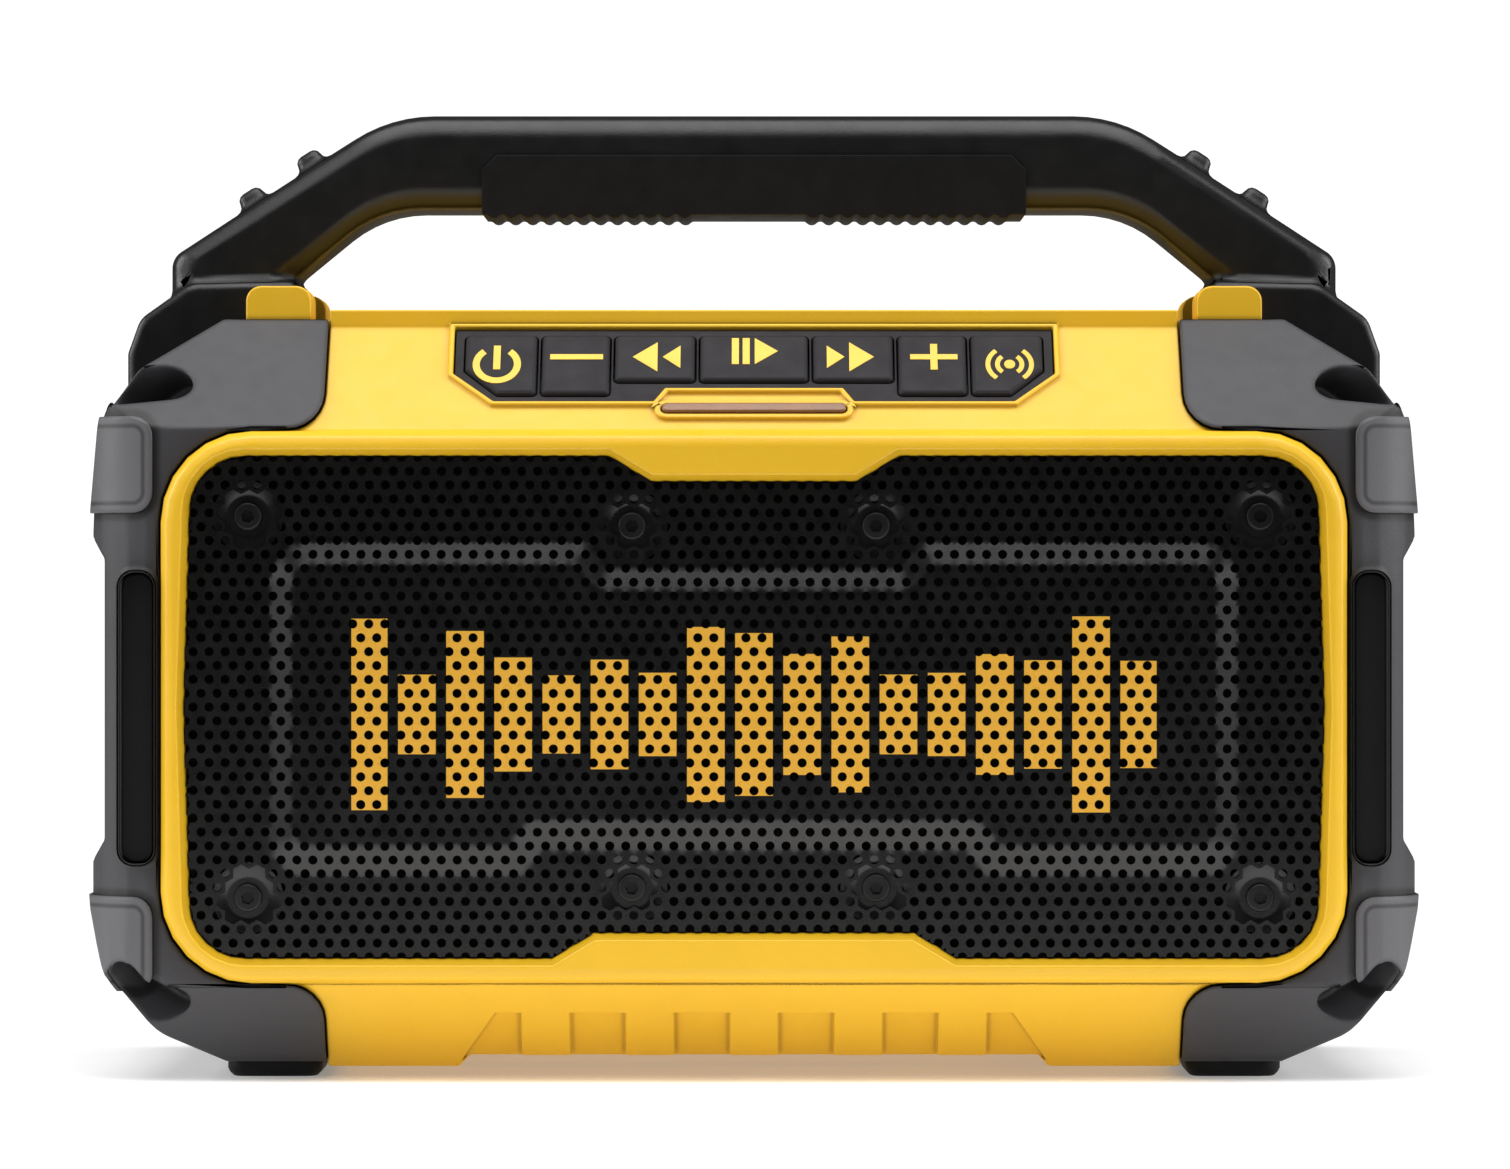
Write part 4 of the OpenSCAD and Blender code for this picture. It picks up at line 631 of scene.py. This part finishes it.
# %% Clear the screw places
SCREWS_RIGHT = ((99.5, 111.3), (24, 109.4), (99.5, 36.3), (24, 38.2))
CLEAR_R = 5.2
screw_places = [(side * x, z) for side in (-1, 1) for x, z in SCREWS_RIGHT]
centres = face_centres(sheet)
row_index = np.round((centres[:, 1] - MID_Z) / ROW)
shift = (row_index % 2) * PITCH / 2
cell_x = np.round((centres[:, 0] - shift) / PITCH) * PITCH + shift
cells = np.stack([cell_x, MID_Z + row_index * ROW], axis=1)
near_screw = np.zeros(len(cells), bool)
for place in screw_places:
    near_screw |= np.linalg.norm(cells - np.array(place), axis=1) < CLEAR_R
remove_faces(sheet, near_screw)
print(near_screw.sum(), "faces cleared round", len(screw_places), "screws")

# %% [markdown]
# Pressing moves every point forward by its depth inside the raised outline, up to the full rise, with a
# short flat stretch at both ends of the slope. The sheet gets its thickness last: all open edges, of
# holes and border alike, are extruded backwards. Nothing sees the back of the sheet, so it needs none.

# %% Press the sheet and give it thickness
CROWN_RISE, CROWN_RUN, CROWN_EASE, SHEET_T = 2.4, 5.6, 0.04, 1.0
spots = spots_of(sheet)
step = np.clip(depth_inside(spots[:, [0, 2]] / MM, crown) / CROWN_RUN, 0, 1)
spots[:, 1] -= CROWN_RISE * MM * np.clip(step * (1 + 2 * CROWN_EASE) - CROWN_EASE, 0, 1)
sheet.data.vertices.foreach_set("co", spots.ravel())
edit(sheet)
bpy.ops.mesh.normals_make_consistent(inside=False)
bpy.ops.mesh.select_all(action="DESELECT")
bpy.ops.mesh.select_mode(type="EDGE")
bpy.ops.mesh.select_non_manifold()
bpy.ops.mesh.extrude_region_move(TRANSFORM_OT_translate={"value": (0, SHEET_T * MM, 0)})
done()
print("pressed grille has", len(sheet.data.polygons), "faces")

# %% [markdown]
# Each cup is a disc behind the sheet with its middle pressed in by insets. One cup is modelled and copied
# to all the screws. The cells cut off round it leave a scalloped edge in front of the cup, as a punched
# sheet has round a pressed screw seat.

# %% One screw cup
CUP_R, CUP_FLOOR, CUP_DEPTH, CUP_SINK = 7, 4.5, 1.2, 0.6
CUP_RIM, CUP_EASE, CUP_DIP = 1.4, 0.6, 0.1
bpy.ops.mesh.primitive_circle_add(vertices=32, radius=CUP_R * MM, rotation=UPRIGHT, fill_type="NGON")
cup = bpy.context.object
settle(cup)
edit(cup)
bpy.ops.mesh.inset(thickness=CUP_RIM * MM, depth=-CUP_DIP * MM)
bpy.ops.mesh.inset(
    thickness=(CUP_R - CUP_FLOOR - CUP_RIM) * MM, depth=-(CUP_DEPTH - CUP_SINK - 2 * CUP_DIP) * MM
)
bpy.ops.mesh.inset(thickness=CUP_EASE * MM, depth=-CUP_DIP * MM)
done()
print("one cup has", len(cup.data.polygons), "faces")


# %% Cups in the sheet
def copies_at_screws(model, y, turn=0):
    """A copy of the model at each screw, at that y, turned by turn degrees for each millimetre of x."""
    copies = []
    for x, z in screw_places:
        copy = bpy.data.objects.new(model.name, model.data.copy())
        bpy.context.scene.collection.objects.link(copy)
        copy.location = (x * MM, y * MM, z * MM)
        copy.rotation_euler = (0, math.radians(turn * x), 0)
        copies.append(copy)
    bpy.data.objects.remove(model)
    return copies


grille = join([sheet] + copies_at_screws(cup, SHEET_Y + CUP_SINK), "perforated_grille")
grille.data.materials.clear()
grille.data.materials.append(finish["grille_black"])
smooth(grille, angle=40)
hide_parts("grille")
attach(grille, "housing")
print(len(grille.data.polygons), "faces in the grille")

# %% [markdown]
# ## Print on the grille
# The front carries a yellow print: a row of bars like a drawn sound. It is a mask in the grille's own
# material. A bar's number comes from rounding x, its half height from two sines of that number, and only
# the front skin of the raised middle is printed, so the walls of the holes stay black.

# %% Printed bars
BAR_PITCH, BAR_SHARE, PRINT_HALF, PRINT_Z, PRINT_SKIN = 3 * PITCH, 0.39, 79, 72.4, 0.06
BAR_LEAST, BAR_MORE = 7, 12.5
SWELL_TURN, BEAT_TURN, BEAT_START = 0.42, 1.9, 0.8
PRINT_YELLOW = (0.72, 0.38, 0.04)
place, math_node = mask_tools(finish["grille_black"])
column = math_node("DIVIDE", place["X"], BAR_PITCH * MM)
number = math_node("ROUND", column)
in_bar = math_node("LESS_THAN", math_node("ABSOLUTE", math_node("SUBTRACT", column, number)), BAR_SHARE)
swell = math_node("ABSOLUTE", math_node("COSINE", math_node("MULTIPLY", number, SWELL_TURN)))
beat_angle = math_node("ADD", math_node("MULTIPLY", number, BEAT_TURN), BEAT_START)
beat = math_node("ABSOLUTE", math_node("SINE", beat_angle))
more = math_node("MULTIPLY", math_node("MULTIPLY", swell, beat), BAR_MORE * MM)
level = math_node("ABSOLUTE", math_node("SUBTRACT", place["Z"], PRINT_Z * MM))
in_height = math_node("LESS_THAN", level, math_node("ADD", more, BAR_LEAST * MM))
in_width = math_node("LESS_THAN", math_node("ABSOLUTE", place["X"]), PRINT_HALF * MM)
on_front = math_node("LESS_THAN", place["Y"], (SHEET_Y - CROWN_RISE + PRINT_SKIN) * MM)
in_field = math_node("MULTIPLY", in_width, on_front)
printed = math_node("MULTIPLY", math_node("MULTIPLY", in_bar, in_height), in_field)
paint(finish["grille_black"], printed, PRINT_YELLOW)
print(round(2 * PRINT_HALF / BAR_PITCH), "bars printed")

# %% [markdown]
# ## Grille screws
# A button head with a hexagon socket: a cylinder, its upper edge rounded, with a six-sided prism cut out
# of it. One head and one prism are modelled and copied. Each prism is turned differently before it cuts,
# because screws never stop at the same angle.

# %% One screw head and its socket
HEAD_R, HEAD_H, HEAD_ROUND, SOCKET_R, SOCKET_H = 2.75, 1.6, 0.5, 1.35, 2
bpy.ops.mesh.primitive_cylinder_add(
    vertices=32, radius=HEAD_R * MM, depth=HEAD_H * MM, location=(0, -HEAD_H / 2 * MM, 0), rotation=UPRIGHT
)
head = bpy.context.object
bevel(head, HEAD_ROUND, segments=3, angle=60)
settle(head)
print("one head has", len(head.data.polygons), "faces before its socket is cut")
bpy.ops.mesh.primitive_cylinder_add(
    vertices=6, radius=SOCKET_R * MM, depth=SOCKET_H * MM, location=(0, -HEAD_H * MM, 0), rotation=UPRIGHT
)
socket = bpy.context.object
settle(socket)

# %% Screws in their cups
SOCKET_TURN = 11
heads = copies_at_screws(head, SHEET_Y + CUP_DEPTH)
sockets = copies_at_screws(socket, SHEET_Y + CUP_DEPTH, SOCKET_TURN)
for one_head, one_socket in zip(heads, sockets):
    cut = one_head.modifiers.new("socket", "BOOLEAN")
    cut.operation = "DIFFERENCE"
    cut.object = one_socket
    apply_all(one_head)
    bpy.data.objects.remove(one_socket)
screws = join(heads, "grille_screw_heads")
screws.data.materials.append(finish["screw_black"])
smooth(screws, angle=35)
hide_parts("grille_screws")
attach(screws, "housing")
print(len(screws.data.polygons), "faces in the screw heads")

# %% [markdown]
# ## Acoustic cloth
# Behind the grille a thin open cloth keeps dust off the drivers. It is cut to the opening and stretched
# flat on the baffle. A cloth simulation would change nothing on a stretched sheet, so a trimmed grid is
# enough.

# %% Cloth
CLOTH_Y = -55.2
bpy.ops.mesh.primitive_grid_add(
    x_subdivisions=60, y_subdivisions=28, size=1, location=(0, CLOTH_Y * MM, MID_Z * MM), rotation=UPRIGHT
)
cloth = bpy.context.object
cloth.name = "acoustic_cloth_sheet"
cloth.scale = (2 * EDGE_X * MM, (HIGH_Z - LOW_Z) * MM, 1)
settle(cloth)
trim(cloth, opening)
cloth.data.materials.append(finish["cloth_black"])
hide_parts("acoustic_cloth")
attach(cloth, "housing")

# %% [markdown]
# ## Key signs
# The signs are moulded into the keys in yellow. They could be masks like the print, but a raised sign
# catches light at its edges. Each is a flat outline in the keypad's own plane, raised by about a tenth of
# a millimetre, then turned onto the slope and placed on its key, so that it moves when the key is
# pressed.

# %% Slope frame
SLOPE_RISE, SLOPE_RUN = 20.9, 22
SLOPE_FOOT = (0, -58, 128.2)
KEY_TOP, SIGN_T, SIGN_SINK = 0.8, 0.12, 0.03
slope_angle = math.atan2(SLOPE_RISE, SLOPE_RUN)
to_slope = Matrix.Translation(Vector(SLOPE_FOOT) * MM) @ Matrix.Rotation(slope_angle, 4, "X")
sign_yellow = surface("key_sign_yellow", (0.82, 0.5, 0.04), (0.92, 0.6, 0.06), (0.4, 0.5), 2400, 0.01)
print("keypad slope", round(math.degrees(slope_angle), 1), "degrees")


# %% Sign outlines
def bar(x, y, w, h):
    """Rectangle about x and y."""
    return [(x - w / 2, y - h / 2), (x + w / 2, y - h / 2), (x + w / 2, y + h / 2), (x - w / 2, y + h / 2)]


def arrow(x, y, w, h):
    """Triangle that points right for a positive width and left for a negative one."""
    points = [(x - w / 2, y - h / 2), (x + w / 2, y), (x - w / 2, y + h / 2)]
    return points if w > 0 else points[::-1]


def arc(x, y, r, thick, start, end, tall, steps=24):
    """Part of a ring from start to end in degrees, made tall times higher than wide."""
    angles = [math.radians(start + (end - start) * k / steps) for k in range(steps + 1)]
    outer = [(x + r * math.cos(a), y + tall * r * math.sin(a)) for a in angles]
    inner = [(x + (r - thick) * math.cos(a), y + tall * (r - thick) * math.sin(a)) for a in angles]
    return outer + inner[::-1]


# %% Sign maker
def raised(points):
    """A flat plate with that outline, from a little below the key's top to the sign's top."""
    bpy.ops.mesh.primitive_circle_add(vertices=len(points), radius=MM, fill_type="NGON")
    part = bpy.context.object
    for vertex, (x, y) in zip(part.data.vertices, points):
        vertex.co = Vector((x, y, KEY_TOP - SIGN_SINK)) * MM
    edit(part)
    bpy.ops.mesh.normals_make_consistent(inside=False)
    bpy.ops.mesh.extrude_region_move(TRANSFORM_OT_translate={"value": (0, 0, (SIGN_T + SIGN_SINK) * MM)})
    bpy.ops.mesh.select_all(action="SELECT")
    bpy.ops.mesh.normals_make_consistent(inside=False)
    done()
    return part


def sign(node, name, outlines):
    """Raised sign from closed outlines on the keypad's slope, in millimetres."""
    piece = join([raised(points) for points in outlines], name)
    piece.matrix_world = to_slope
    settle(piece)
    piece.data.materials.append(sign_yellow)
    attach(piece, body_of_node[node])
    print(name, "of", len(outlines), "parts")


# %% [markdown]
# The signs lie on a slope, which makes them look lower from the front, so the round ones are drawn TALL
# times higher than wide. Their row is slightly arched: the sign in the middle sits highest on the slope
# and the two outer ones lowest.

# %% Signs of the left keys
TALL, OUTER_Y, SKIP_Y, PLAY_Y = 1.17, 18.5, 20.7, 22.4
STROKE, DASH, RING_R, SIDE = 1.4, 1.5, 4.8, 52
LARGE_W, LARGE_H, SMALL_W, SMALL_H = 4.9, 8.6, 3.5, 6.6
POWER_X, POWER_UP, POWER_H = -51, 2, 7
sign("power_key", "power_sign", [
    arc(POWER_X, OUTER_Y, RING_R, STROKE, 180 - SIDE, 360 + SIDE, TALL),
    bar(POWER_X, OUTER_Y + POWER_UP, STROKE, POWER_H),
])
MINUS_X, MINUS_W = -35.2, 10.5
sign("volume_down_key", "volume_down_sign", [bar(MINUS_X, SKIP_Y, MINUS_W, DASH)])
sign("back_key", "back_sign", [
    arrow(-21.6, SKIP_Y, -LARGE_W, LARGE_H), arrow(-16.35, SKIP_Y, -SMALL_W, SMALL_H),
])

# %% Signs of the middle and right keys
PLAY_W, PLAY_H = 4.6, 7.7
sign("play_key", "play_sign", [
    bar(-3.7, PLAY_Y, STROKE, PLAY_H), bar(-1.55, PLAY_Y, STROKE, PLAY_H),
    arrow(2.45, PLAY_Y, PLAY_W, PLAY_H),
])
sign("forward_key", "forward_sign", [
    arrow(16.2, SKIP_Y, SMALL_W, SMALL_H), arrow(21.35, SKIP_Y, LARGE_W, LARGE_H),
])
PLUS_X, PLUS_ARM, PLUS_STEP, PLUS_H = 35.7, 4, 2.7, 7.6
sign("volume_up_key", "volume_up_sign", [
    bar(PLUS_X - PLUS_STEP, SKIP_Y, PLUS_ARM, DASH), bar(PLUS_X + PLUS_STEP, SKIP_Y, PLUS_ARM, DASH),
    bar(PLUS_X, SKIP_Y, STROKE, PLUS_H),
])
PAIRING_X, WAVE_R, WAVE_THICK, DOT_R, DOT_THICK = 50.7, 2.9, 0.95, 1.1, 1.08
waves = [
    arc(PAIRING_X, OUTER_Y, r, WAVE_THICK, turn - SIDE, turn + SIDE, TALL)
    for r in (WAVE_R, RING_R) for turn in (0, 180)
]
dot = arc(PAIRING_X, OUTER_Y, DOT_R, DOT_THICK, 0, 360, TALL, 16)
sign("pairing_key", "pairing_sign", [dot] + waves)

# %% [markdown]
# ## Floor and surround
# In a product picture the object stands on a pale floor that shows no edge. A curved backdrop could do
# that, but here the floor itself fades: it catches the shadow near the speaker and turns clear further
# out. It also glows faintly, so that some light comes from below.

# %% Floor
FADE_NEAR, FADE_FAR, FLOOR_GLOW = 0.15, 0.6, 0.22
bpy.ops.mesh.primitive_plane_add(size=3, location=(0, 0, 0))
floor = bpy.context.object
floor.name = "floor"
pale = surface("pale_floor", (0.9, 0.9, 0.9), (0.93, 0.93, 0.93), (0.75, 0.85), 60, 0.02)
nodes, links = pale.node_tree.nodes, pale.node_tree.links
away = nodes.new("ShaderNodeVectorMath")
away.operation = "LENGTH"
links.new(nodes["Texture Coordinate"].outputs["Object"], away.inputs[0])
fade = nodes.new("ShaderNodeMapRange")
fade.interpolation_type = "SMOOTHSTEP"
fade.inputs["From Min"].default_value = FADE_NEAR
fade.inputs["From Max"].default_value = FADE_FAR
links.new(away.outputs["Value"], fade.inputs["Value"])
clear = nodes.new("ShaderNodeBsdfTransparent")
blend = nodes.new("ShaderNodeMixShader")
links.new(fade.outputs["Result"], blend.inputs["Fac"])
links.new(nodes["Principled BSDF"].outputs["BSDF"], blend.inputs[1])
links.new(clear.outputs["BSDF"], blend.inputs[2])
links.new(blend.outputs["Shader"], nodes["Material Output"].inputs["Surface"])
nodes["Principled BSDF"].inputs["Emission Color"].default_value = (1, 1, 1, 1)
nodes["Principled BSDF"].inputs["Emission Strength"].default_value = FLOOR_GLOW
floor.data.materials.append(pale)
print("the floor fades from", FADE_NEAR, "to", FADE_FAR, "metres")

# %% [markdown]
# The surround looks white to the camera but gives little light of its own, and still less in reflections.
# With a fully white surround, the black handle and grille would look grey.

# %% Surround
SEEN_WHITE, LIT_WHITE, MIRRORED_WHITE = 1.1, 0.14, 0.06
world = bpy.data.worlds.new("white surround")
bpy.context.scene.world = world
world.use_nodes = True
tree = world.node_tree
rays = tree.nodes.new("ShaderNodeLightPath")


def sky(strength):
    """A white surround of that strength."""
    node = tree.nodes.new("ShaderNodeBackground")
    node.inputs["Color"].default_value = (1, 1, 1, 1)
    node.inputs["Strength"].default_value = strength
    return node.outputs["Background"]


def either(ray, without, with_ray):
    """One surround for that kind of ray and another for the rest."""
    node = tree.nodes.new("ShaderNodeMixShader")
    tree.links.new(rays.outputs[ray], node.inputs["Fac"])
    tree.links.new(without, node.inputs[1])
    tree.links.new(with_ray, node.inputs[2])
    return node.outputs["Shader"]


tree.nodes.remove(tree.nodes["Background"])
lit = either("Is Glossy Ray", sky(LIT_WHITE), sky(MIRRORED_WHITE))
seen = either("Is Camera Ray", lit, sky(SEEN_WHITE))
tree.links.new(seen, tree.nodes["World Output"].inputs["Surface"])
print("surround seen at", SEEN_WHITE, "and lighting at", LIT_WHITE)

# %% [markdown]
# ## Light and camera
# One wide light hangs above, two softer ones stand at the front sides, and two level with the ends draw a
# bright line along the edges of the caps and the handle. Large lights give the soft shadows of a product
# picture; small ones would leave hard edges and bright dots.

# %% Lights
AIM = Vector((0, 0, 0.1))


def softbox(name, place, size, power):
    """A large rectangular light that looks at the speaker."""
    bpy.ops.object.light_add(type="AREA", location=place)
    lamp = bpy.context.object
    lamp.name = name
    lamp.data.shape = "RECTANGLE"
    lamp.data.size, lamp.data.size_y = size
    lamp.data.energy = power
    lamp.rotation_euler = (AIM - Vector(place)).to_track_quat("-Z", "Y").to_euler()
    return lamp


lights = [
    softbox("overhead light", (0, -0.3, 1.3), (1.6, 1.1), 22),
    softbox("left light", (-1.3, -0.8, 0.5), (0.4, 0.9), 3),
    softbox("right light", (1.3, -0.8, 0.5), (0.4, 0.9), 3),
    softbox("left edge light", (-1.2, 0.0, 0.55), (0.5, 0.9), 9.5),
    softbox("right edge light", (1.2, 0.0, 0.55), (0.5, 0.9), 9.5),
]
print(len(lights), "lights with", sum(lamp.data.energy for lamp in lights), "watts")

# %% [markdown]
# The camera stands far off with a long lens, level with the middle of the speaker, as for a catalogue
# picture. The lens follows from the width that the picture shows at the front of the speaker.

# %% Camera
FRONT, AWAY, SHOWN_WIDTH, SENSOR = -0.0625, 1.5, 0.296, 36
CAMERA_X, CAMERA_Z = 0.0002, 0.0979
bpy.ops.object.camera_add(location=(CAMERA_X, FRONT - AWAY, CAMERA_Z), rotation=UPRIGHT)
camera = bpy.context.object
camera.data.sensor_width = SENSOR
camera.data.lens = SENSOR * AWAY / SHOWN_WIDTH
bpy.context.scene.camera = camera
bpy.context.scene.view_settings.view_transform = "Standard"
print("lens of", round(camera.data.lens), "mm")
